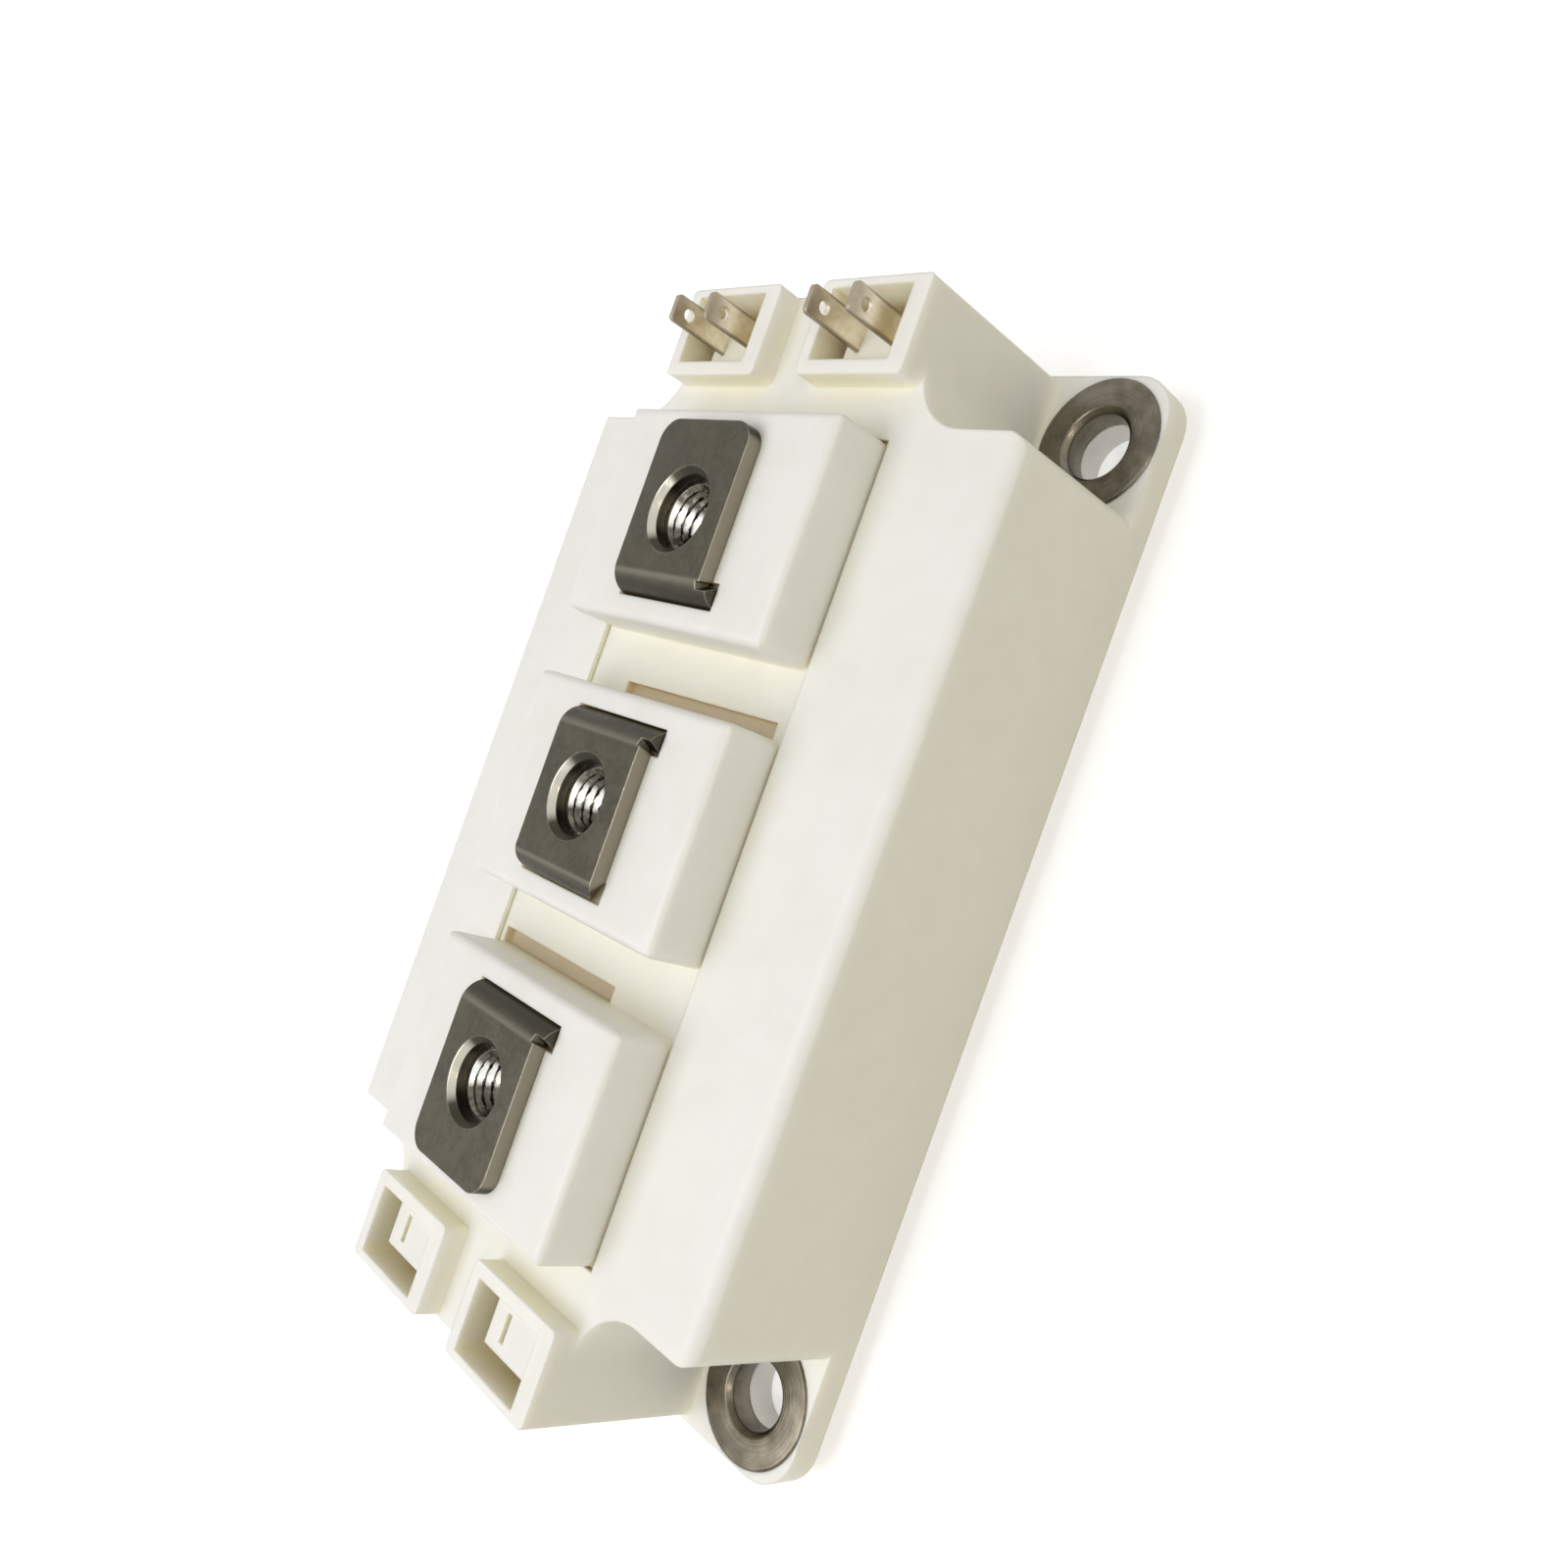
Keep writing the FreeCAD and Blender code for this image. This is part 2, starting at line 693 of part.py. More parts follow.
def inner_electrics():
    """Everything on the base plate inside the case, by node name."""
    parts = {}
    for number, side in ((1, 1), (2, -1)):
        backing_top = base_thickness + copper_thickness
        ceramic_top = backing_top + ceramic_thickness
        backing = substrate_layer(side, copper_border, (base_thickness, backing_top))
        parts[f"substrate_backing_{number}"] = backing
        parts[f"substrate_ceramic_{number}"] = substrate_layer(side, 0, (backing_top, ceramic_top))
        parts[f"substrate_tracks_{number}"] = substrate_tracks(side)
        parts[f"igbt_chips_{number}"] = chip_row(side, igbt_start, igbt_side)
        parts[f"diode_chips_{number}"] = chip_row(side, diode_start, diode_side)
        parts[f"bond_wires_{number}"] = bond_wires(side)
        parts[f"link_bridge_{number}"] = link_bridge(side)
    sense_x = collector_end - lead_side / 2
    gate_x = sense_x - lead_side - blade_thickness
    lower = lead_level - lead_drop
    parts["gate_lead"] = control_lead(gate_place, 0, lead_level, lead_wall_gap, gate_x)
    parts["sense_lead"] = control_lead(sense_place, -sense_place, lower, lead_wall_gap + lead_drop, sense_x)
    return parts


def build():
    """All sub-parts by node name."""
    tabs = {name: blade_tab(middle) for name, middle in BLADES}
    terminals = {name: main_terminal(*shape) for name, *shape in TERMINALS}
    electrics = inner_electrics()
    parts = {
        "case": moulded_case(list(tabs.values())),
        "terminal_cover": terminal_cover(),
        "base_plate": base_plate(),
    }
    for number, middle in enumerate(four_corners(hole_x, hole_y), start=1):
        parts[f"mounting_bush_{number}"] = mounting_bush(middle)
    for number, (_, middle, _, _, _) in enumerate(TERMINALS, start=1):
        parts[f"terminal_nut_{number}"] = terminal_nut(middle)
    parts.update(terminals)
    parts.update(tabs)
    parts.update(electrics)
    standing = list(terminals.values()) + list(tabs.values()) + list(electrics.values())
    parts["silicone_gel"] = silicone_gel(standing)
    return parts


os.makedirs("parts", exist_ok=True)
for node, shape in build().items():
    shape.exportStep(f"parts/{node}.step")
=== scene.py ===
"""Half-bridge power module in a white moulded case, dressed over its CAD frame.

Three screw terminals stand in a row on raised blocks, blade sockets stand at both ends and
steel bushes line the four mounting lugs. The frame is the CAD part's own: +Z up, origin under
the middle of the base plate. Sizes in the module's classes are in millimetres, meshes in metres.
"""
import logging
import math
from collections.abc import Callable, Sequence
from dataclasses import dataclass
from enum import Enum

import bmesh
import bpy
import numpy as np
from mathutils import Matrix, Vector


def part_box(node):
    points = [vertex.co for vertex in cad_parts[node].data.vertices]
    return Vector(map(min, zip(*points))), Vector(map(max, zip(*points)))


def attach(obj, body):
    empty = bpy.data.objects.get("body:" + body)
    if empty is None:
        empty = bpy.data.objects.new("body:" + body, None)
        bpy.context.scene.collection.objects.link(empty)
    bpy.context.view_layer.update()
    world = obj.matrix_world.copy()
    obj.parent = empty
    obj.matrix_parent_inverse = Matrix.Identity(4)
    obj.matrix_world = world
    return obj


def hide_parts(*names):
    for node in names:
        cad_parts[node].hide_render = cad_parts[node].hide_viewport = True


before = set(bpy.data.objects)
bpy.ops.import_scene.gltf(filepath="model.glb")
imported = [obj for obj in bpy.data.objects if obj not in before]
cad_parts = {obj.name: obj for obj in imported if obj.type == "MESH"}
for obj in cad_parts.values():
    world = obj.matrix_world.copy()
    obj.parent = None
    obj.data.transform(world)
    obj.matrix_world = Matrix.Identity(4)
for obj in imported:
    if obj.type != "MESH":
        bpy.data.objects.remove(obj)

LOG = logging.getLogger("power_module")
MM = 0.001
SHARP_ANGLE = math.radians(35)

# Decimals, and the distance in millimetres, to which two places count as one
POINT_DIGITS = 5
LINE_DIGITS = 6
SAME_PLACE = 1e-6

Pair = tuple[float, float]
Colour = tuple[float, float, float]
Place = tuple[float, float, float]
Socket = bpy.types.NodeSocket
Feed = float | tuple[float, ...] | Socket


# Surfaces worked out with numpy


@dataclass
class Surface:
    """Points in millimetres and the four-sided faces between them."""

    points: np.ndarray
    faces: np.ndarray

    def welded(self) -> "Surface":
        """Merge points that share a place, and drop the faces this leaves without area.

        Returns:
            The surface with every point once.
        """
        rounded = np.round(self.points, POINT_DIGITS)
        _, first, back = np.unique(rounded, axis=0, return_index=True, return_inverse=True)
        faces = back.reshape(-1)[self.faces]
        distinct = 1 + (np.diff(np.sort(faces, axis=1), axis=1) > 0).sum(axis=1)
        return Surface(self.points[first], faces[distinct >= 3])

    def flipped(self) -> "Surface":
        """The same surface facing the other way."""
        return Surface(self.points, self.faces[:, ::-1])


def grid_faces(rows: int, columns: int, close_rows: bool = False, close_columns: bool = False) -> np.ndarray:
    """Faces of a grid of points stored row by row.

    Args:
        rows: number of rows of points.
        columns: number of points in a row.
        close_rows: join the last row to the first.
        close_columns: join the end of each row to its start.

    Returns:
        Array of point numbers, four to a face.
    """
    row = np.arange(rows if close_rows else rows - 1)[:, None]
    column = np.arange(columns if close_columns else columns - 1)[None, :]
    next_row = (row + 1) % rows
    next_column = (column + 1) % columns
    corners = [row * columns + column, row * columns + next_column,
               next_row * columns + next_column, next_row * columns + column]
    return np.stack([np.broadcast_to(c, (row.size, column.size)).reshape(-1) for c in corners], axis=1)


def full_turn(steps: int) -> np.ndarray:
    """Column of evenly spaced angles round an axis."""
    return np.linspace(0, 2 * np.pi, steps, endpoint=False)[:, None]


def turned(radius: np.ndarray, height: np.ndarray, centre: Pair) -> Surface:
    """Closed ring: point (r, z) of the section at turn a lies at (r cos a, r sin a, z) from the axis.

    Args:
        radius: radii, one row for each turn, along a section that is clockwise seen with Z up.
        height: heights in the same layout.
        centre: place of the axis in plan.

    Returns:
        The ring's surface, facing outward.
    """
    steps, count = radius.shape
    turn = full_turn(steps)
    points = [centre[0] + radius * np.cos(turn), centre[1] + radius * np.sin(turn), height]
    return Surface(np.stack(points, axis=2).reshape(-1, 3), grid_faces(steps, count, True, True))


def rounded_path(corners: Sequence[tuple[float, float, float]], steps: int = 5) -> np.ndarray:
    """Closed outline whose corners are eased: a quadratic curve from edge to edge at each corner.

    Args:
        corners: (x, y, ease) rows, where ease is how far from the corner the curve starts.
        steps: points on each eased corner.

    Returns:
        Outline points, one row each.
    """
    table = np.array(corners)
    places, ease = table[:, :2], table[:, 2:]
    before = np.roll(places, 1, axis=0) - places
    after = np.roll(places, -1, axis=0) - places
    start = places + before / np.linalg.norm(before, axis=1, keepdims=True) * ease
    end = places + after / np.linalg.norm(after, axis=1, keepdims=True) * ease
    share = np.linspace(0, 1, steps)[None, :, None]
    ends = (1 - share) ** 2 * start[:, None] + share ** 2 * end[:, None]
    return (ends + 2 * share * (1 - share) * places[:, None]).reshape(-1, 2)


@dataclass(frozen=True)
class PiercedSheet:
    """Flat stamped blank with one round hole, cut along a grid of lines.

    The grid is plain outside a square round the hole. Inside it, each ring of points is a mix of
    a circle and the square's edge, and the hole's own rim is a ring of even width.
    """

    u_lines: np.ndarray
    v_lines: np.ndarray
    hole: Pair
    hole_radius: float
    rim: float
    square: float
    divisions: int
    rings: int = 4

    def border(self, u: np.ndarray, v: np.ndarray) -> np.ndarray:
        """Points round the square, counter-clockwise, one for each grid line that meets it.

        Args:
            u: grid lines across.
            v: grid lines along.

        Returns:
            Points measured from the hole's middle.
        """
        across, along = (lines[abs(lines - middle) < self.square + SAME_PLACE] - middle
                         for lines, middle in zip((u, v), self.hole))
        edge_u, edge_v = np.full(len(across) - 1, self.square), np.full(len(along) - 1, self.square)
        sides = [(across[:-1], -edge_u), (edge_v, along[:-1]),
                 (across[:0:-1], edge_u), (-edge_v, along[:0:-1])]
        return np.concatenate([np.stack(side, axis=1) for side in sides])

    def blank(self, keep: Callable[[np.ndarray, np.ndarray], np.ndarray]) -> Surface:
        """Flat surface of the cells whose middles pass the test.

        Args:
            keep: takes the middles' u and v, gives True where the metal stays.

        Returns:
            The blank in the plane, its third coordinate zero.
        """
        inner = np.linspace(-self.square, self.square, self.divisions + 1)
        u, v = (np.unique(np.round(np.concatenate([lines, middle + inner]), LINE_DIGITS))
                for lines, middle in zip((self.u_lines, self.v_lines), self.hole))
        grid_u, grid_v = np.meshgrid(u, v, indexing="ij")
        points = np.stack([grid_u, grid_v, np.zeros_like(grid_u)], axis=2).reshape(-1, 3)
        faces = grid_faces(len(u), len(v))[:, ::-1]
        middle = points[faces].mean(axis=1)
        beside = abs(middle[:, :2] - np.array(self.hole)).max(axis=1) > self.square
        faces = faces[beside & keep(middle[:, 0], middle[:, 1])]
        border = self.border(u, v)
        circle = border / np.linalg.norm(border, axis=1, keepdims=True)
        share = np.linspace(0, 1, self.rings + 1)[:, None, None]
        outer = circle * (self.hole_radius + self.rim) * (1 - share) + border * share
        ring = np.concatenate([circle[None] * self.hole_radius, outer]).reshape(-1, 2) + np.array(self.hole)
        ring_points = np.concatenate([ring, np.zeros((len(ring), 1))], axis=1)
        ring_faces = grid_faces(self.rings + 2, len(border), False, True)[:, ::-1] + len(points)
        return Surface(np.concatenate([points, ring_points]), np.concatenate([faces, ring_faces])).welded()


def thickened(blank: Surface, top: Callable[[np.ndarray], np.ndarray],
              bottom: Callable[[np.ndarray], np.ndarray]) -> Surface:
    """Closed plate: the blank's points placed by two functions, with a wall along every open edge.

    Args:
        blank: flat surface facing +w.
        top: places the upper copy of the points.
        bottom: places the lower copy of the points.

    Returns:
        The plate, facing outward.
    """
    count = len(blank.points)
    ends = np.stack([blank.faces, np.roll(blank.faces, -1, axis=1)], axis=2).reshape(-1, 2)
    _, back, uses = np.unique(np.sort(ends, axis=1), axis=0, return_inverse=True, return_counts=True)
    first, second = ends[(uses[back.reshape(-1)] == 1) & (ends[:, 0] != ends[:, 1])].T
    walls = np.stack([second, first, first + count, second + count], axis=1)
    points = np.concatenate([top(blank.points), bottom(blank.points)])
    return Surface(points, np.concatenate([blank.faces, blank.faces[:, ::-1] + count, walls]))


def eased_corner(points: np.ndarray, corner: Pair, reach: Pair, sense: tuple[int, int]) -> np.ndarray:
    """Round a corner of a flat blank: the corner's rectangle is mapped to a quarter ellipse.

    With a and b the shares of the way to the corner, the point moves to
    (a sqrt(1 - b b / 2), b sqrt(1 - a a / 2)) of the reach.

    Args:
        points: blank points.
        corner: place of the sharp corner.
        reach: how far the rounding starts from the corner along u and v.
        sense: direction of the corner along u and v.

    Returns:
        Points with the corner rounded.
    """
    signed = np.array(reach) * np.array(sense)
    start = np.array(corner) - signed
    share = (points[:, :2] - start) / signed
    inside = (share > 0).all(axis=1)
    a, b = np.clip(share, 0, 1).T
    moved = np.stack([a * np.sqrt(1 - b * b / 2), b * np.sqrt(1 - a * a / 2)], axis=1)
    result = points.copy()
    result[inside, :2] = (start + moved * signed)[inside]
    return result


# Meshes and pieces


@dataclass(frozen=True)
class EdgeRound:
    """Bevel modifier for the sharp edges of a piece, its width in millimetres."""

    width: float
    segments: int = 2
    angle: float = SHARP_ANGLE

    def put_on(self, piece: bpy.types.Object) -> None:
        """Add the modifier.

        Args:
            piece: object whose edges are rounded.
        """
        bevel = piece.modifiers.new("edge_round", "BEVEL")
        bevel.width = self.width * MM
        bevel.segments = self.segments
        bevel.limit_method = "ANGLE"
        bevel.angle_limit = self.angle
        bevel.harden_normals = True


def dress_mesh(name: str, mesh: bpy.types.Mesh, material: bpy.types.Material,
               edges: EdgeRound | None = None) -> bpy.types.Object:
    """Put a finished mesh into the scene as a piece that rides on the module.

    Args:
        name: name of the piece.
        mesh: its mesh in metres.
        material: finish of the piece.
        edges: rounding of its sharp edges.

    Returns:
        The new object, at the origin.
    """
    mesh.materials.clear()
    mesh.materials.append(material)
    mesh.polygons.foreach_set("use_smooth", np.ones(len(mesh.polygons), dtype=bool))
    mesh.set_sharp_from_angle(angle=SHARP_ANGLE)
    piece = bpy.data.objects.new(name, mesh)
    bpy.context.scene.collection.objects.link(piece)
    if edges is not None:
        edges.put_on(piece)
    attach(piece, "root")
    LOG.info("%s: %d faces", name, len(mesh.polygons))
    return piece


def make_piece(name: str, surface: Surface, material: bpy.types.Material,
               edges: EdgeRound | None = None) -> bpy.types.Object:
    """Turn a surface into a piece of the module.

    Args:
        name: name of the piece.
        surface: its points in millimetres and faces.
        material: finish of the piece.
        edges: rounding of its sharp edges.

    Returns:
        The new object, at the origin.
    """
    mesh = bpy.data.meshes.new(name)
    mesh.from_pydata((surface.points * MM).tolist(), [], surface.faces.tolist())
    mesh.validate()
    return dress_mesh(name, mesh, material, edges)


def dress_nodes(names: Sequence[str], material: bpy.types.Material) -> None:
    """Give CAD nodes a finish, with their shapes as they are.

    Args:
        names: the nodes.
        material: their finish.
    """
    for name in names:
        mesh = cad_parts[name].data
        mesh.materials.clear()
        mesh.materials.append(material)
        LOG.info("%s: finish %s", name, material.name)


# Node trees


class Sheet:
    """A node tree under construction, with short calls for its nodes and links."""

    def __init__(self, tree: bpy.types.NodeTree) -> None:
        """Start on a tree."""
        self.tree = tree

    def put(self, value: Feed, socket: Socket) -> None:
        """Link an output to a socket, or set a plain value on it.

        Args:
            value: output, number or vector, or a colour that gets full alpha.
            socket: input to feed.
        """
        if isinstance(value, Socket):
            self.tree.links.new(value, socket)
        else:
            socket.default_value = (*value, 1.0) if socket.type == "RGBA" else value

    def feed(self, node: bpy.types.Node, feeds: dict[str | int, Feed]) -> None:
        """Link or set several inputs of a node, found by name or number."""
        for key, value in feeds.items():
            self.put(value, node.inputs[key])

    def node(self, kind: str, feeds: dict[str | int, Feed] | None = None,
             **settings: object) -> bpy.types.Node:
        """Add a node.

        Args:
            kind: type of the node.
            feeds: what its inputs get, by name or number.
            settings: its own properties.

        Returns:
            The new node.
        """
        new = self.tree.nodes.new(kind)
        for key, value in settings.items():
            setattr(new, key, value)
        self.feed(new, feeds or {})
        return new

    def maths(self, operation: str, *values: Feed, clamp: bool = False) -> Socket:
        """Result of a Math node on the given values."""
        feeds = dict(enumerate(values))
        return self.node("ShaderNodeMath", feeds, operation=operation, use_clamp=clamp).outputs[0]

    def times(self, first: Feed, second: Feed) -> Socket:
        """Product of two values."""
        return self.maths("MULTIPLY", first, second)

    def larger(self, first: Feed, second: Feed) -> Socket:
        """The larger of two values."""
        return self.maths("MAXIMUM", first, second)

    def weighted(self, first: Feed, second: Feed, share: float) -> Socket:
        """Sum of a share of the first value and the rest of the second."""
        return self.maths("ADD", self.times(first, share), self.times(second, 1 - share))

    def blend(self, factor: Feed, low: Feed, high: Feed) -> Socket:
        """Mix of two colours by a factor."""
        feeds = {"Factor": factor, 6: low, 7: high}
        return self.node("ShaderNodeMix", feeds, data_type="RGBA").outputs[2]

    def spread(self, value: Feed, low: float, high: float) -> Socket:
        """A share from 0 to 1 spread over a range."""
        feeds = {"Value": value, "To Min": low, "To Max": high}
        return self.node("ShaderNodeMapRange", feeds).outputs["Result"]

    def step(self, value: Feed, low: float, high: float) -> Socket:
        """Smooth step of a value from 0 at low to 1 at high."""
        feeds = {"Value": value, "From Min": low, "From Max": high}
        return self.node("ShaderNodeMapRange", feeds, interpolation_type="SMOOTHSTEP").outputs["Result"]

    def axes(self, vector: Feed) -> bpy.types.bpy_prop_collection:
        """The X, Y and Z outputs of a vector, by name."""
        return self.node("ShaderNodeSeparateXYZ", {0: vector}).outputs

    def unsigned(self, value: Feed) -> Socket:
        """A value without its sign."""
        return self.maths("ABSOLUTE", value)

    def vectors(self, operation: str, *values: Feed) -> bpy.types.bpy_prop_collection:
        """Outputs of a Vector Math node on the given values."""
        return self.node("ShaderNodeVectorMath", dict(enumerate(values)), operation=operation).outputs

    def noise(self, vector: Feed, scale: Feed, detail: float = 2.0) -> Socket:
        """Value of a noise texture."""
        feeds = {"Vector": vector, "Scale": scale, "Detail": detail}
        return self.node("ShaderNodeTexNoise", feeds).outputs["Fac"]

    def facing(self) -> Socket:
        """Direction in which the surface faces."""
        return self.node("ShaderNodeNewGeometry").outputs["Normal"]


class GroupKind(Enum):
    """Shader groups that more than one finish uses."""

    CLOUD = "cloud_variation"
    GRAIN = "moulded_grain"
    EDGE = "edge_wear"
    RINGS = "turning_rings"
    DRAWN = "drawn_lines"
    RECESS = "recess_shade"


# Socket types, by name, that most groups take and give
PATTERN: dict[str, str] = {"Vector": "Vector", "Scale": "Float"}
SHARE: dict[str, str] = {"Share": "Float"}


class GroupSheet(Sheet):
    """Node tree of one shared group, with its inputs as given and its outputs as result."""

    def __init__(self, kind: GroupKind, inputs: dict[str, str], outputs: dict[str, str]) -> None:
        """Start a group.

        Args:
            kind: which group.
            inputs: socket type of each input, by name.
            outputs: socket type of each output, by name.
        """
        super().__init__(bpy.data.node_groups.new(kind.value, "ShaderNodeTree"))
        for direction, sockets in (("INPUT", inputs), ("OUTPUT", outputs)):
            for name, socket in sockets.items():
                socket_type = "NodeSocket" + socket
                self.tree.interface.new_socket(name=name, in_out=direction, socket_type=socket_type)
        self.given = self.node("NodeGroupInput").outputs
        self.result = self.node("NodeGroupOutput").inputs


@dataclass(frozen=True)
class SharedGroups:
    """The shader groups that the finishes share, and the numbers that shape them."""

    cloud_finer: float = 5.0
    cloud_detail: float = 4.0
    cloud_range: Pair = (0.36, 0.64)
    grain_detail: float = 3.0
    grain_cell_scale: float = 0.6
    grain_share: float = 0.7
    bevel_samples: int = 6
    drift_scale: float = 0.25
    drift_reach: float = 0.4
    line_detail: float = 3.0
    line_range: Pair = (0.3, 0.7)
    recess_samples: int = 6

    def build_cloud(self) -> None:
        """Soft patches of two sizes: the mean of two noises, the second several times finer."""
        sheet = GroupSheet(GroupKind.CLOUD, PATTERN, SHARE)
        vector, scale = sheet.given["Vector"], sheet.given["Scale"]
        coarse = sheet.noise(vector, scale, self.cloud_detail)
        fine = sheet.noise(vector, sheet.times(scale, self.cloud_finer), self.cloud_detail)
        sheet.put(sheet.step(sheet.weighted(coarse, fine, 0.5), *self.cloud_range), sheet.result["Share"])

    def build_grain(self) -> None:
        """Height of a spark-eroded mould's grain: fine noise over rounder cells."""
        sheet = GroupSheet(GroupKind.GRAIN, PATTERN, {"Height": "Float"})
        vector, scale = sheet.given["Vector"], sheet.given["Scale"]
        fine = sheet.noise(vector, scale, self.grain_detail)
        cell_feeds = {"Vector": vector, "Scale": sheet.times(scale, self.grain_cell_scale)}
        cells = sheet.node("ShaderNodeTexVoronoi", cell_feeds, feature="SMOOTH_F1").outputs["Distance"]
        sheet.put(sheet.weighted(fine, cells, self.grain_share), sheet.result["Height"])

    def build_edge(self) -> None:
        """Rounded normal along sharp edges, and a mask of where that normal leaves the face's own."""
        sheet = GroupSheet(GroupKind.EDGE, {"Radius": "Float", "Gain": "Float"},
                           {"Normal": "Vector", "Wear": "Float"})
        radius = {"Radius": sheet.given["Radius"]}
        rounded = sheet.node("ShaderNodeBevel", radius, samples=self.bevel_samples).outputs["Normal"]
        off = sheet.maths("SUBTRACT", 1.0, sheet.vectors("DOT_PRODUCT", rounded, sheet.facing())["Value"])
        sheet.put(rounded, sheet.result["Normal"])
        sheet.put(sheet.maths("MULTIPLY", off, sheet.given["Gain"], clamp=True), sheet.result["Wear"])

    def build_rings(self) -> None:
        """Rings round the Z axis: a noise read along the distance from it, a little uneven in turn."""
        sheet = GroupSheet(GroupKind.RINGS, PATTERN, SHARE)
        flat = sheet.vectors("MULTIPLY", sheet.given["Vector"], (1.0, 1.0, 0.0))["Vector"]
        drift = sheet.times(sheet.noise(flat, self.drift_scale), self.drift_reach)
        reach = sheet.maths("ADD", sheet.vectors("LENGTH", flat)["Value"], drift)
        feeds = {"W": reach, "Scale": sheet.given["Scale"]}
        ring = sheet.node("ShaderNodeTexNoise", feeds, noise_dimensions="1D").outputs["Fac"]
        sheet.put(sheet.step(ring, *self.line_range), sheet.result["Share"])

    def build_drawn(self) -> None:
        """Fine lines along one direction: a noise stretched by the vector's own scale."""
        sheet = GroupSheet(GroupKind.DRAWN, PATTERN, SHARE)
        lines = sheet.noise(sheet.given["Vector"], sheet.given["Scale"], self.line_detail)
        sheet.put(sheet.step(lines, *self.line_range), sheet.result["Share"])

    def build_recess(self) -> None:
        """Share of the surroundings within a reach that is closed off, so recesses can be given painted
        shade.
        """
        sheet = GroupSheet(GroupKind.RECESS, {"Reach": "Float"}, SHARE)
        reach = {"Distance": sheet.given["Reach"]}
        light = sheet.node("ShaderNodeAmbientOcclusion", reach, samples=self.recess_samples)
        sheet.put(sheet.maths("SUBTRACT", 1.0, light.outputs["AO"]), sheet.result["Share"])

    def build(self) -> None:
        """Build every group once."""
        for build_group in (self.build_cloud, self.build_grain, self.build_edge,
                            self.build_rings, self.build_drawn, self.build_recess):
            build_group()


class MaterialSheet(Sheet):
    """Node tree of one material: patterns on object coordinates in millimetres, and a Principled shader."""

    def __init__(self, name: str) -> None:
        """Make the material and its shader.

        Args:
            name: name of the material.
        """
        self.material = bpy.data.materials.new(name)
        self.material.use_nodes = True
        super().__init__(self.material.node_tree)
        self.shader = self.tree.nodes["Principled BSDF"]

    def coordinates(self, scale: Place = (1.0, 1.0, 1.0), centre: Place = (0.0, 0.0, 0.0),
                    mirrored: bool = False) -> Socket:
        """Object coordinates in millimetres.

        Args:
            scale: stretch along each axis after the change to millimetres.
            centre: point, in millimetres, that becomes the origin.
            mirrored: fold all quarters of the plan onto one.

        Returns:
            The vector output.
        """
        place = self.node("ShaderNodeTexCoord").outputs["Object"]
        if mirrored:
            place = self.vectors("ABSOLUTE", place)["Vector"]
        return self.node("ShaderNodeMapping", {
            "Vector": place,
            "Scale": tuple(s / MM for s in scale),
            "Location": tuple(-c * s for c, s in zip(centre, scale)),
        }).outputs["Vector"]

    def group(self, kind: GroupKind, **feeds: Feed) -> bpy.types.bpy_prop_collection:
        """Outputs of a shared group with the given inputs."""
        return self.node("ShaderNodeGroup", feeds, node_tree=bpy.data.node_groups[kind.value]).outputs

    def clouds(self, scale: float) -> Socket:
        """Share of soft patches."""
        return self.group(GroupKind.CLOUD, Vector=self.coordinates(), Scale=scale)["Share"]

    def lines(self, scale: float, stretch: Place) -> Socket:
        """Share of fine lines, longest along the axis of the smallest stretch."""
        return self.group(GroupKind.DRAWN, Vector=self.coordinates(stretch), Scale=scale)["Share"]

    def grain(self, scale: float) -> Socket:
        """Height of the moulded grain."""
        return self.group(GroupKind.GRAIN, Vector=self.coordinates(), Scale=scale)["Height"]

    def edges(self, radius: float, gain: float) -> tuple[Socket, Socket]:
        """Rounded normal and mask of wear along edges of a radius in millimetres."""
        edge = self.group(GroupKind.EDGE, Radius=radius * MM, Gain=gain)
        return edge["Normal"], edge["Wear"]

    def relief(self, height: Feed, depth: float, normal: Socket | None = None) -> None:
        """Send a relief to the shader's normal.

        Args:
            height: share of the depth at each point.
            depth: full depth in millimetres.
            normal: normal beneath the relief.
        """
        feeds = {"Distance": depth * MM, "Height": height}
        if normal is not None:
            feeds["Normal"] = normal
        self.put(self.node("ShaderNodeBump", feeds).outputs["Normal"], self.shader.inputs["Normal"])

    def finish(self, colour: Feed, roughness: Feed, metallic: float = 0.0) -> bpy.types.Material:
        """Set the shader's main inputs and give back the material."""
        self.feed(self.shader, {"Base Color": colour, "Roughness": roughness, "Metallic": metallic})
        return self.material


# Finishes


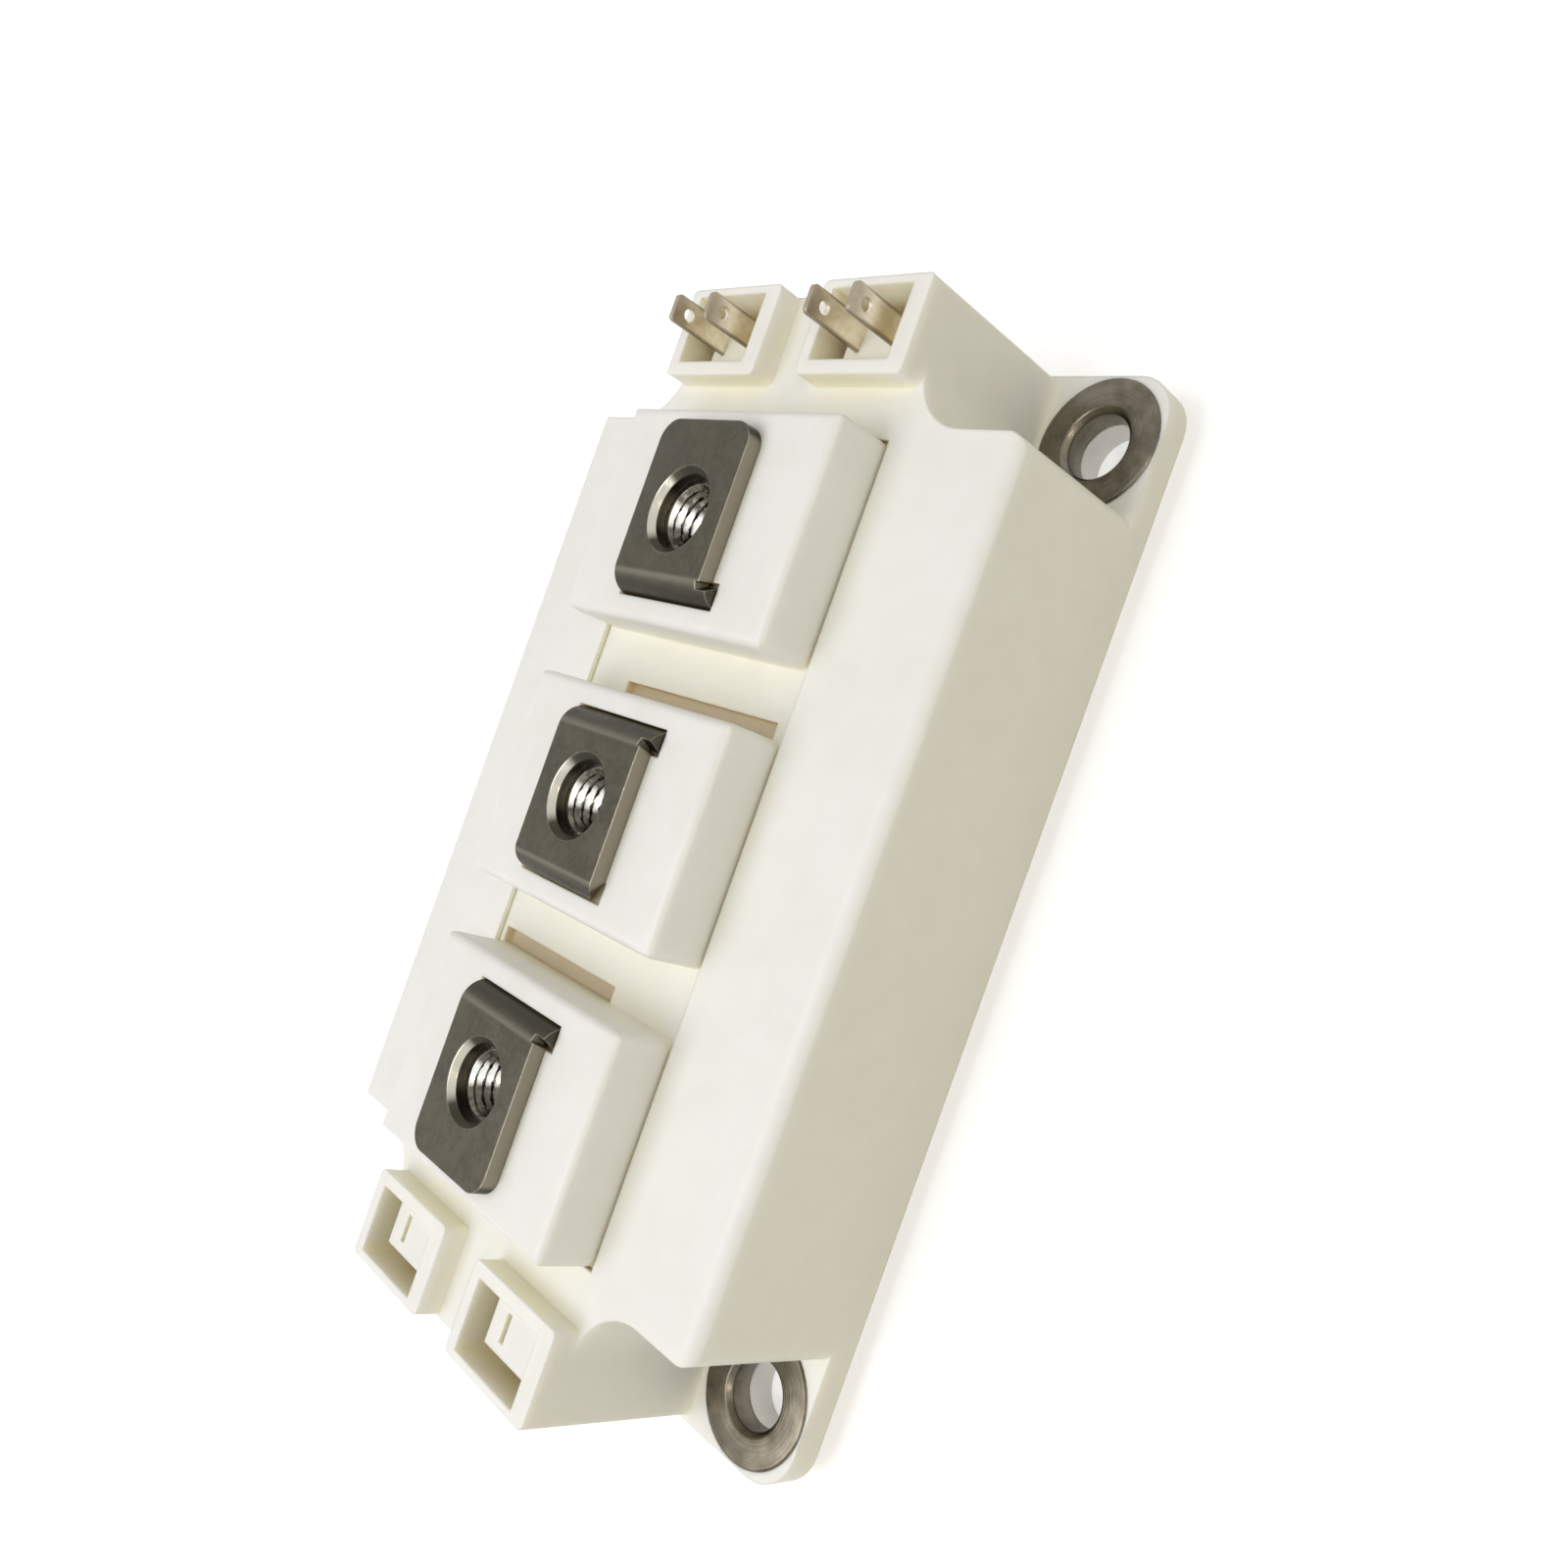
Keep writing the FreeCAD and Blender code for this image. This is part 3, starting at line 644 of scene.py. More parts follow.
@dataclass(frozen=True)
class MouldedPlastic:
    """Glass-filled white polyester: faint clouds, a fine grain, soft edges, and painted shade, cream in
    recesses and brown in the depths.
    """

    name: str = "white_plastic"
    light: Colour = (0.86, 0.85, 0.815)
    dark: Colour = (0.835, 0.82, 0.775)
    # Painted shade: cream tint where the surroundings are closed off.
    recess_painted_shade: Colour = (0.84, 0.82, 0.65)
    # Painted shade: brown where the surroundings are nearly all closed off, and below the groove level.
    depth: Colour = (0.58, 0.44, 0.25)
    recess_reach: float = 7.0
    recess_shade_range: Pair = (0.25, 0.75)
    depth_shade_range: Pair = (0.86, 1.0)
    groove_level: float = 0.0
    groove_fade: float = 0.3
    groove_shade_share: float = 0.55
    translucency: float = 0.5
    scatter: Colour = (1.0, 0.86, 0.62)
    scatter_reach: float = 2.0
    roughness: Pair = (0.40, 0.50)
    edge: Pair = (0.35, 2.0)
    cloud_scale: float = 0.06
    grain_scale: float = 4.0
    grain_depth: float = 0.012

    def build(self) -> bpy.types.Material:
        """Make the material.

        Returns:
            The plastic.
        """
        sheet = MaterialSheet(self.name)
        cloud = sheet.clouds(self.cloud_scale)
        # Painted shade in hollows, read from how closed off the surroundings are.
        closed = sheet.group(GroupKind.RECESS, Reach=self.recess_reach * MM)["Share"]
        body = sheet.blend(cloud, self.dark, self.light)
        cream = sheet.blend(sheet.step(closed, *self.recess_shade_range), body, self.recess_painted_shade)
        level = sheet.axes(sheet.coordinates())["Z"]
        # Painted shade, browner below the groove level.
        groove = sheet.step(level, self.groove_level, self.groove_level - self.groove_fade)
        brown = sheet.larger(sheet.step(closed, *self.depth_shade_range), sheet.times(groove, self.groove_shade_share))
        sheet.shader.subsurface_method = "BURLEY"
        sheet.feed(sheet.shader, {"Subsurface Weight": self.translucency, "Subsurface Radius": self.scatter,
                                  "Subsurface Scale": self.scatter_reach * MM})
        rounded, _ = sheet.edges(*self.edge)
        sheet.relief(sheet.grain(self.grain_scale), self.grain_depth, rounded)
        return sheet.finish(sheet.blend(brown, cream, self.depth), sheet.spread(cloud, *self.roughness))


@dataclass(frozen=True)
class StampedNickel:
    """Dull nickel on stamped copper: dark faces, lighter sheared sides, a worn burr, and painted reflections
    on the bends and on the smooth, bright chamfer.

    The masks are read from the surface's direction: sides face along Y, bends along X, and the
    chamfer and the eased long edges lie between Y and Z. Each pair of a mask is where it starts
    and where it is full. An edge's pair is its radius in millimetres and its gain.
    """

    name: str = "nickel_plated_copper"
    light: Colour = (0.100, 0.091, 0.069)
    dark: Colour = (0.074, 0.067, 0.050)
    sheared: Colour = (0.285, 0.26, 0.20)
    # Painted shade: darker reflection on the bends.
    bend: Colour = (0.046, 0.042, 0.029)
    # Painted highlight: a lighter band where each bend starts.
    bend_highlight: Colour = (0.170, 0.155, 0.120)
    # Bright metal of worn edges, and of the smooth chamfer, where it also stands for a painted highlight on
    # faces turned up and along Y.
    bright_metal_and_glint: Colour = (0.56, 0.53, 0.45)
    shoulder: Pair = (7.05, 6.95)
    side_range: Pair = (0.8, 0.97)
    bend_range: Pair = (0.35, 0.75)
    bend_highlight_rise: Pair = (0.06, 0.2)
    bend_highlight_fall: Pair = (0.45, 0.25)
    slant_across: Pair = (0.42, 0.62)
    slant_rise: Pair = (0.3, 0.5)
    slant_fall: Pair = (0.97, 0.85)
    line_share: float = 0.2
    wear_range: Pair = (0.15, 0.5)
    roughness: Pair = (0.36, 0.46)
    polish_gloss: float = 0.2
    edge: Pair = (0.22, 6.0)
    cloud_scale: float = 0.35
    line_scale: float = 3.0
    stretch: Place = (0.12, 1.0, 1.0)
    relief_depth: float = 0.003

    def masks(self, sheet: MaterialSheet) -> tuple[Socket, Socket, Socket, Socket]:
        """Where the strip is sheared, where its bends get painted shade and a painted highlight band, and
        where its chamfer gets bright metal with a painted highlight.

        Args:
            sheet: the material's nodes.

        Returns:
            The four masks in that order.
        """
        facing = sheet.axes(sheet.facing())
        along, across, up = sheet.unsigned(facing["X"]), sheet.unsigned(facing["Y"]), facing["Z"]
        inner = sheet.step(sheet.unsigned(sheet.axes(sheet.coordinates())["Y"]), *self.shoulder)
        side = sheet.times(sheet.step(across, *self.side_range), inner)
        # Painted highlight band where a bend starts, and painted shade further round it, read from how far
        # the surface turns along X.
        bend_highlight = sheet.times(sheet.step(along, *self.bend_highlight_rise), sheet.step(along, *self.bend_highlight_fall))
        slanted = sheet.times(sheet.step(across, *self.slant_across), sheet.step(up, *self.slant_rise))
        # Chamfer and eased edges turned up and along Y: smooth bright metal with a painted highlight.
        polish_and_highlight = sheet.times(slanted, sheet.step(up, *self.slant_fall))
        return side, sheet.step(along, *self.bend_range), bend_highlight, polish_and_highlight

    def build(self) -> bpy.types.Material:
        """Make the material.

        Returns:
            The nickel plating.
        """
        sheet = MaterialSheet(self.name)
        cloud, drawn = sheet.clouds(self.cloud_scale), sheet.lines(self.line_scale, self.stretch)
        rounded, wear = sheet.edges(*self.edge)
        side, bent, bend_highlight, polish_and_highlight = self.masks(sheet)
        body = sheet.blend(cloud, self.dark, self.light)
        streaked = sheet.blend(sheet.times(drawn, self.line_share), body, self.light)
        # Painted bend highlight, then painted bend shade.
        curved = sheet.blend(bent, sheet.blend(bend_highlight, streaked, self.bend_highlight), self.bend)
        worn = sheet.times(wear, sheet.spread(cloud, *self.wear_range))
        sides = sheet.blend(side, curved, self.sheared)
        # Worn edges and the chamfer's painted highlight take the bright colour.
        colour = sheet.blend(sheet.larger(worn, polish_and_highlight), sides, self.bright_metal_and_glint)
        gloss = sheet.times(polish_and_highlight, self.polish_gloss)
        rough = sheet.maths("SUBTRACT", sheet.spread(cloud, *self.roughness), gloss)
        sheet.relief(sheet.maths("ADD", drawn, cloud), self.relief_depth, rounded)
        return sheet.finish(colour, rough, 1.0)


@dataclass(frozen=True)
class TurnedSteel:
    """Lathe-turned plated steel with rings round each mounting hole."""

    centre: Place
    name: str = "turned_steel"
    light: Colour = (0.215, 0.192, 0.148)
    dark: Colour = (0.095, 0.083, 0.062)
    worn: Colour = (0.45, 0.42, 0.35)
    ring_scale: float = 8.0
    ring_share: float = 0.25
    cloud_scale: float = 0.13
    edge: Pair = (0.18, 3.0)
    wear_share: float = 0.6
    ring_depth: float = 0.006
    roughness: Pair = (0.24, 0.32)

    def build(self) -> bpy.types.Material:
        """Make the material.

        Returns:
            The turned steel.
        """
        sheet = MaterialSheet(self.name)
        place = sheet.coordinates(centre=self.centre, mirrored=True)
        rings = sheet.group(GroupKind.RINGS, Vector=place, Scale=self.ring_scale)["Share"]
        rounded, wear = sheet.edges(*self.edge)
        mix = sheet.weighted(rings, sheet.clouds(self.cloud_scale), self.ring_share)
        body = sheet.blend(mix, self.dark, self.light)
        sheet.relief(rings, self.ring_depth, rounded)
        colour = sheet.blend(sheet.times(wear, self.wear_share), body, self.worn)
        return sheet.finish(colour, sheet.spread(rings, *self.roughness), 1.0)


@dataclass(frozen=True)
class PlatedMetal:
    """Plated or bare metal with fine lines along one direction and soft stains."""

    name: str
    light: Colour
    dark: Colour
    roughness: Pair
    stretch: Place = (1.0, 1.0, 1.0)
    stain_scale: float = 0.3
    stain_share: float = 0.7
    line_scale: float = 4.0
    line_depth: float = 0.006
    worn: Colour = (0.85, 0.83, 0.78)
    wear_share: float = 0.6
    edge: Pair = (0.12, 3.0)

    def build(self) -> bpy.types.Material:
        """Make the material.

        Returns:
            The metal.
        """
        sheet = MaterialSheet(self.name)
        cloud, drawn = sheet.clouds(self.stain_scale), sheet.lines(self.line_scale, self.stretch)
        rounded, wear = sheet.edges(*self.edge)
        body = sheet.blend(sheet.weighted(cloud, drawn, self.stain_share), self.dark, self.light)
        sheet.relief(drawn, self.line_depth, rounded)
        colour = sheet.blend(sheet.times(wear, self.wear_share), body, self.worn)
        return sheet.finish(colour, sheet.spread(cloud, *self.roughness), 1.0)


@dataclass(frozen=True)
class ThreadedSteel:
    """Zinc-plated steel of a nut: dark, with a painted glint on the thread flanks that face one way."""

    name: str = "nut_steel"
    light: Colour = (0.20, 0.18, 0.15)
    dark: Colour = (0.09, 0.08, 0.062)
    # Painted glint colour for the thread flanks that face the given way.
    bright_metal_and_glint: Colour = (0.88, 0.87, 0.82)
    glint_way: Place = (0.0, -0.7071, 0.7071)
    glint_range: Pair = (0.935, 0.99)
    cloud_scale: float = 0.5
    edge: Pair = (0.10, 2.0)
    relief_depth: float = 0.01
    roughness: Pair = (0.18, 0.26)

    def build(self) -> bpy.types.Material:
        """Make the material.

        Returns:
            The nut's steel.
        """
        sheet = MaterialSheet(self.name)
        cloud = sheet.clouds(self.cloud_scale)
        # Painted glint: bright where the surface faces one fixed way.
        toward = sheet.vectors("DOT_PRODUCT", sheet.facing(), self.glint_way)["Value"]
        body = sheet.blend(cloud, self.dark, self.light)
        rounded, _ = sheet.edges(*self.edge)
        sheet.relief(cloud, self.relief_depth, rounded)
        colour = sheet.blend(sheet.step(toward, *self.glint_range), body, self.bright_metal_and_glint)
        return sheet.finish(colour, sheet.spread(cloud, *self.roughness), 1.0)


@dataclass(frozen=True)
class TarnishedTab:
    """Tinned brass strip: pale faces, brown sheared edges and a tip that has darkened."""

    name: str = "tinned_brass"
    light: Colour = (0.96, 0.90, 0.76)
    dark: Colour = (0.78, 0.69, 0.52)
    sheared: Colour = (0.165, 0.12, 0.08)
    tip: Pair = (26.2, 29.2)
    middle_x: float = 48.5
    side: Pair = (1.0, 1.35)
    tarnish: float = 0.7
    stain_scale: float = 0.3
    stain_share: float = 0.7
    line_scale: float = 4.0
    stretch: Place = (1.0, 1.0, 0.1)
    line_depth: float = 0.004
    edge: Pair = (0.2, 5.0)
    roughness: Pair = (0.30, 0.42)

    def build(self) -> bpy.types.Material:
        """Make the material.

        Returns:
            The tinned brass.
        """
        sheet = MaterialSheet(self.name)
        cloud, drawn = sheet.clouds(self.stain_scale), sheet.lines(self.line_scale, self.stretch)
        rounded, wear = sheet.edges(*self.edge)
        body = sheet.blend(sheet.weighted(cloud, drawn, self.stain_share), self.dark, self.light)
        place = sheet.axes(sheet.coordinates())
        aside = sheet.unsigned(sheet.maths("SUBTRACT", place["X"], self.middle_x))
        tip, border = sheet.step(place["Z"], *self.tip), sheet.step(aside, *self.side)
        brown = sheet.larger(sheet.times(sheet.larger(tip, border), self.tarnish), wear)
        sheet.relief(drawn, self.line_depth, rounded)
        return sheet.finish(sheet.blend(brown, body, self.sheared), sheet.spread(cloud, *self.roughness), 1.0)


@dataclass(frozen=True)
class DullSolid:
    """Non-metal of the inner build-up: soft patches over a fine grain."""

    name: str
    light: Colour
    dark: Colour
    roughness: Pair
    patch_scale: float = 0.2
    grain_scale: float = 6.0
    grain_depth: float = 0.008
    coat: float = 0.0
    clear: float = 0.0

    def build(self) -> bpy.types.Material:
        """Make the material.

        Returns:
            The solid's finish.
        """
        sheet = MaterialSheet(self.name)
        cloud = sheet.clouds(self.patch_scale)
        sheet.relief(sheet.grain(self.grain_scale), self.grain_depth)
        sheet.feed(sheet.shader, {"Coat Weight": self.coat, "Transmission Weight": self.clear})
        return sheet.finish(sheet.blend(cloud, self.dark, self.light), sheet.spread(cloud, *self.roughness))


# Camera, light and floor


def stand(name: str, data: bpy.types.Camera | bpy.types.Light, axes: Sequence[np.ndarray],
          place: np.ndarray) -> bpy.types.Object:
    """Put a camera or a light into the scene.

    Args:
        name: name of the object.
        data: its camera or light data.
        axes: directions of its own X, Y and Z.
        place: where it stands, in metres.

    Returns:
        The new object.
    """
    turn = np.eye(4)
    turn[:3, :3] = np.stack(axes, axis=1)
    turn[:3, 3] = place
    new = bpy.data.objects.new(name, data)
    new.matrix_world = Matrix(turn.tolist())
    bpy.context.scene.collection.objects.link(new)
    return new


@dataclass(frozen=True)
class PhotoCamera:
    """Camera that stands where the photograph was taken from: millimetres, and pixels of its frame."""

    place: Place = (4.61, -101.94, 101.01)
    right: Place = (0.3374, -0.6613, -0.6700)
    down: Place = (-0.9413, -0.2428, -0.2344)
    focal: float = 1357.77
    image: float = 1600.0
    middle: Pair = (824.25, 853.87)
    sensor: float = 36.0
    nearest: float = 5.0

    def build(self) -> None:
        """Create the camera and make it the scene's own."""
        data = bpy.data.cameras.new("photo_camera")
        data.sensor_fit = "HORIZONTAL"
        data.sensor_width = self.sensor
        data.lens = self.focal / self.image * self.sensor
        data.shift_x = (self.image / 2 - self.middle[0]) / self.image
        data.shift_y = (self.middle[1] - self.image / 2) / self.image
        data.clip_start = self.nearest * MM
        right = np.array(self.right) / np.linalg.norm(self.right)
        down = np.array(self.down) - right * np.dot(self.down, right)
        down /= np.linalg.norm(down)
        axes = (right, -down, -np.cross(right, down))
        bpy.context.scene.camera = stand("photo_camera", data, axes, np.array(self.place) * MM)


@dataclass(frozen=True)
class SoftBox:
    """Square studio light that faces the module, its place and size in metres."""

    name: str
    place: Place
    size: float
    power: float
    colour: Colour = (1.0, 1.0, 1.0)

    def build(self) -> None:
        """Create the light, turned to the middle of the module."""
        data = bpy.data.lights.new(self.name, "AREA")
        data.size = self.size
        data.energy = self.power
        data.color = self.colour
        back = np.array(self.place) / np.linalg.norm(self.place)
        side = np.cross((0.0, 1.0, 0.0), back)
        side /= np.linalg.norm(side)
        stand(self.name, data, (side, np.cross(back, side), back), np.array(self.place))


@dataclass(frozen=True)
class Studio:
    """Pale floor, white surroundings and soft light, with the floor's sizes in metres.

    Far from the module, over the span of far in millimetres, the floor's glow rises to white.
    """

    floor_size: float = 3.0
    floor_level: float = -0.00002
    floor_colour: Colour = (0.82, 0.82, 0.82)
    bounce_colour: Colour = (0.74, 0.70, 0.50)
    floor_lift: Pair = (0.48, 0.72)
    far: Pair = (200.0, 700.0)
    floor_roughness: float = 0.9
    white: Colour = (1.0, 1.0, 1.0)
    air: float = 0.42
    boxes: tuple[SoftBox, ...] = (
        SoftBox("key_light", (-0.22, 0.10, 0.62), 0.5, 2.4),
        SoftBox("fill_light", (0.25, -0.55, 0.35), 0.5, 0.22, (1.0, 0.92, 0.66)),
        SoftBox("glint_light", (0.0, -0.47, 0.48), 0.05, 0.42, (1.0, 0.94, 0.78)),
    )

    def seen_directly(self, sheet: Sheet) -> Socket:
        """Tell rays from the camera, or by way of a mirror or glass, from those that light the module.

        Args:
            sheet: nodes to add to.

        Returns:
            1 for rays that see and 0 for others.
        """
        path = sheet.node("ShaderNodeLightPath").outputs
        seen = sheet.larger(path["Is Camera Ray"], path["Is Glossy Ray"])
        return sheet.larger(seen, path["Is Transmission Ray"])

    def build_floor(self) -> None:
        """Floor sheet, white where it is seen with its shadow kept, and warm as light on the module."""
        half = self.floor_size / 2
        corners = ((-half, -half), (half, -half), (half, half), (-half, half))
        mesh = bpy.data.meshes.new("floor")
        mesh.from_pydata([(x, y, self.floor_level) for x, y in corners], [], [(0, 1, 2, 3)])
        sheet = MaterialSheet("pale_floor")
        seen = self.seen_directly(sheet)
        away = sheet.vectors("LENGTH", sheet.coordinates())["Value"]
        lift = sheet.spread(sheet.step(away, *self.far), *self.floor_lift)
        sheet.feed(sheet.shader, {"Emission Color": self.white, "Emission Strength": sheet.times(seen, lift)})
        colour = sheet.blend(seen, self.bounce_colour, self.floor_colour)
        mesh.materials.append(sheet.finish(colour, self.floor_roughness))
        floor = bpy.data.objects.new("floor", mesh)
        bpy.context.scene.collection.objects.link(floor)

    def build_world(self) -> None:
        """White surroundings: full white where seen, dimmer as light on the module."""
        world = bpy.data.worlds.new("studio_air")
        world.use_nodes = True
        sheet = Sheet(world.node_tree)
        strength = sheet.spread(self.seen_directly(sheet), self.air, 1.0)
        sheet.feed(sheet.tree.nodes["Background"], {"Color": self.white, "Strength": strength})
        bpy.context.scene.world = world

    def build(self) -> None:
        """Build the whole studio."""
        bpy.context.scene.view_settings.view_transform = "Standard"
        self.build_world()
        self.build_floor()
        for box in self.boxes:
            box.build()


# The module's sub-assemblies


@dataclass(frozen=True)
class MouldedHousing:
    """Case and terminal cover: the CAD's own forms, welded and shaded with soft edges."""

    weld: float = 0.0005
    floor_level: float = 22.0
    groove_shade_range: Pair = (0.78, 0.98)

    def shell(self, name: str, node: str, material: bpy.types.Material) -> None:
        """Make a welded copy of a CAD node and let it stand for the node.

        Args:
            name: name of the new piece.
            node: the CAD node.
            material: its finish.
        """
        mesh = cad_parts[node].data.copy()
        shape = bmesh.new()
        shape.from_mesh(mesh)
        bmesh.ops.remove_doubles(shape, verts=shape.verts, dist=self.weld * MM)
        shape.to_mesh(mesh)
        shape.free()
        mesh.name = name
        if "custom_normal" in mesh.attributes:
            mesh.attributes.remove(mesh.attributes["custom_normal"])
        piece = dress_mesh(name, mesh, material)
        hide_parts(node)

    def build(self) -> None:
        """Build both mouldings; the cover's grooves get more brown painted shade than the case's sockets."""
        self.shell("moulded_case", "case", MouldedPlastic().build())
        cover = MouldedPlastic("white_plastic_cover", depth_shade_range=self.groove_shade_range,
                               groove_level=self.floor_level)
        self.shell("moulded_cover", "terminal_cover", cover.build())


class FreeEnd(Enum):
    """How the free end of a main terminal is finished."""

    STRAIGHT = "straight"
    ROLLED = "rolled"


@dataclass(frozen=True)
class MainTerminal:
    """Screw terminal bent from stamped strip: contact plate, bend, riser, leg and soldered foot.

    The blank lies in (u, v), u along the strip from the bore's middle towards the bend. A point at
    u and depth w lies on the path's point at u, moved w against the path's normal. The notch beside
    the bend is its start and end along u, counted from the bend, and its depth.
    """

    number: int
    middle_x: float
    side: int
    foot_side: int
    end: FreeEnd
    thickness: float = 1.6
    half_width: float = 6.6
    reach: float = 8.7
    lip_reach: float = 8.3
    lip_radius: float = 2.0
    to_bend: float = 5.8
    bend_radius: float = 2.5
    shoulder: float = 0.9
    corner: float = 2.2
    bore_radius: float = 3.65
    bore_chamfer: float = 0.6
    notch: tuple[float, float, float] = (0.503, 1.252, 0.5)
    leg_half: float = 3.0
    foot_length: float = 3.2
    top: float = 30.0
    riser_bottom: float = 19.8
    copper_top: float = 4.2
    edges: EdgeRound = EdgeRound(0.14)
    square: float = 5.0
    divisions: int = 20
    corner_lines: int = 6
    small_bend_lines: int = 9
    bend_lines: int = 13
    path_steps: int = 24001
    path_margin: float = 0.1

    @property
    def quarter(self) -> float:
        """Length of the upper bend along the strip's outer face."""
        return self.bend_radius * math.pi / 2

    @property
    def foot_quarter(self) -> float:
        """Length of the foot's bend along the same face."""
        radius = self.bend_radius - (self.thickness if self.foot_side == self.side else 0.0)
        return radius * math.pi / 2

    @property
    def corner_length(self) -> float:
        """Reach of a free corner along the strip, longer where the plan's corner runs down the rolled end."""
        rolled_extra = self.lip_radius * (math.pi / 2 - 1)
        return self.corner + (rolled_extra if self.end is FreeEnd.ROLLED else 0.0)

    @property
    def marks(self) -> dict[str, float]:
        """Places along the strip where its form changes.

        Returns:
            The place of each, by name.
        """
        bend_end = self.to_bend + self.quarter
        riser_end = bend_end + (self.top - self.bend_radius - self.riser_bottom)
        leg_end = riser_end + self.riser_bottom - self.copper_top - self.bend_radius
        rolled = self.end is FreeEnd.ROLLED
        flat_end = -(self.lip_reach - self.lip_radius) if rolled else -self.reach
        free_end = flat_end - (self.lip_radius * math.pi / 2 if rolled else 0.0)
        return {"free_end": free_end, "flat_end": flat_end, "bend_end": bend_end, "riser_end": riser_end,
                "leg_end": leg_end, "foot_start": leg_end + self.foot_quarter,
                "foot_end": leg_end + self.foot_quarter + self.foot_length}

    def stays(self, u: np.ndarray, v: np.ndarray) -> np.ndarray:
        """Tell where the blank has metal: wide plate, notched bend, shouldered riser, narrow leg.

        Args:
            u: places along the strip.
            v: places across it.

        Returns:
            True where the metal stays.
        """
        start, end, depth = self.notch
        edge = np.where(u > self.to_bend + start, self.half_width - depth, self.half_width)
        edge = np.where(u > self.to_bend + end, self.half_width + self.shoulder, edge)
        wide = (v > -edge) & (v < self.half_width)
        return np.where(u < self.marks["riser_end"], wide, abs(v) < self.leg_half)

    def blank(self) -> Surface:
        """Flat blank with its bore and rounded free corners.

        Returns:
            The blank in the plane.
        """
        mark = self.marks
        start, end, depth = self.notch
        roll_lines = self.small_bend_lines if self.end is FreeEnd.ROLLED else 1
        u_lines = np.concatenate([
            np.linspace(mark["free_end"], mark["flat_end"], roll_lines),
            np.linspace(-self.half_width, -self.square, self.corner_lines),
            np.linspace(self.to_bend, mark["bend_end"], self.bend_lines),
            [self.to_bend + start, self.to_bend + end, mark["riser_end"], mark["foot_end"]],
            np.linspace(mark["leg_end"], mark["foot_start"], self.small_bend_lines),
            np.linspace(mark["free_end"], mark["free_end"] + self.corner_length, self.corner_lines),
        ])
        row = np.concatenate([np.linspace(self.half_width - self.corner, self.half_width, self.corner_lines),
                              [self.half_width - depth, self.leg_half]])
        v_lines = np.concatenate([row, -row, [-self.half_width - self.shoulder]])
        sheet = PiercedSheet(u_lines, v_lines, (0.0, 0.0), self.bore_radius, self.bore_chamfer,
                             self.square, self.divisions)
        blank = sheet.blank(self.stays)
        points = blank.points
        for sense in (-1, 1):
            points = eased_corner(points, (mark["free_end"], sense * self.half_width),
                                  (self.corner_length, self.corner), (-1, sense))
        return Surface(points, blank.faces)

    def heading(self, u: np.ndarray) -> np.ndarray:
        """Angle by which the strip has turned down, the sum of a straight rise over each of its bends.

        Args:
            u: places along the strip.

        Returns:
            The angle at each place.
        """
        mark = self.marks
        up = np.clip((u - self.to_bend) / self.quarter, 0, 1)
        foot = np.clip((u - mark["leg_end"]) / self.foot_quarter, 0, 1)
        turn = up + (-foot if self.foot_side == self.side else foot)
        if self.end is FreeEnd.ROLLED:
            turn = turn - np.clip((mark["flat_end"] - u) / (mark["flat_end"] - mark["free_end"]), 0, 1)
        return turn * np.pi / 2

    def placed(self, points: np.ndarray, depth: float) -> np.ndarray:
        """Blank points carried onto the bent path.

        The path is the running sum of (cos h, -sin h) over u, with h the heading. A face point
        near the bore sinks by what is left of the chamfer there.

        Args:
            points: blank points.
            depth: distance below the strip's outer face.

        Returns:
            Points in the module's frame.
        """
        mark = self.marks
        fine = np.linspace(mark["free_end"] - self.path_margin, mark["foot_end"] + self.path_margin,
                           self.path_steps)
        angle = self.heading(fine)
        between = (angle[1:] + angle[:-1]) / 2
        u = points[:, 0]
        ways = (np.concatenate([[0.0], np.cumsum(part(between)) * (fine[1] - fine[0])])
                for part in (np.cos, np.sin))
        run, drop = (np.interp(u, fine, way) - np.interp(0.0, fine, way) for way in ways)
        sink = np.full(len(points), depth)
        if depth == 0.0:
            from_rim = np.hypot(u, points[:, 1]) - self.bore_radius
            sink = np.clip(self.bore_chamfer - from_rim, 0.0, None)
        turn = self.heading(u)
        x, z = run - sink * np.sin(turn), self.top - drop - sink * np.cos(turn)
        return np.stack([self.middle_x + self.side * x, points[:, 1], z], axis=1)

    def build(self, material: bpy.types.Material) -> None:
        """Build the terminal and let it stand for its CAD node.

        Args:
            material: its finish.
        """
        plate = thickened(self.blank(), lambda p: self.placed(p, 0.0),
                          lambda p: self.placed(p, self.thickness))
        plate = plate if self.side > 0 else plate.flipped()
        name = f"screw_terminal_{self.number}"
        piece = make_piece(name, plate, material, self.edges)
        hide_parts(f"main_terminal_{self.number}")


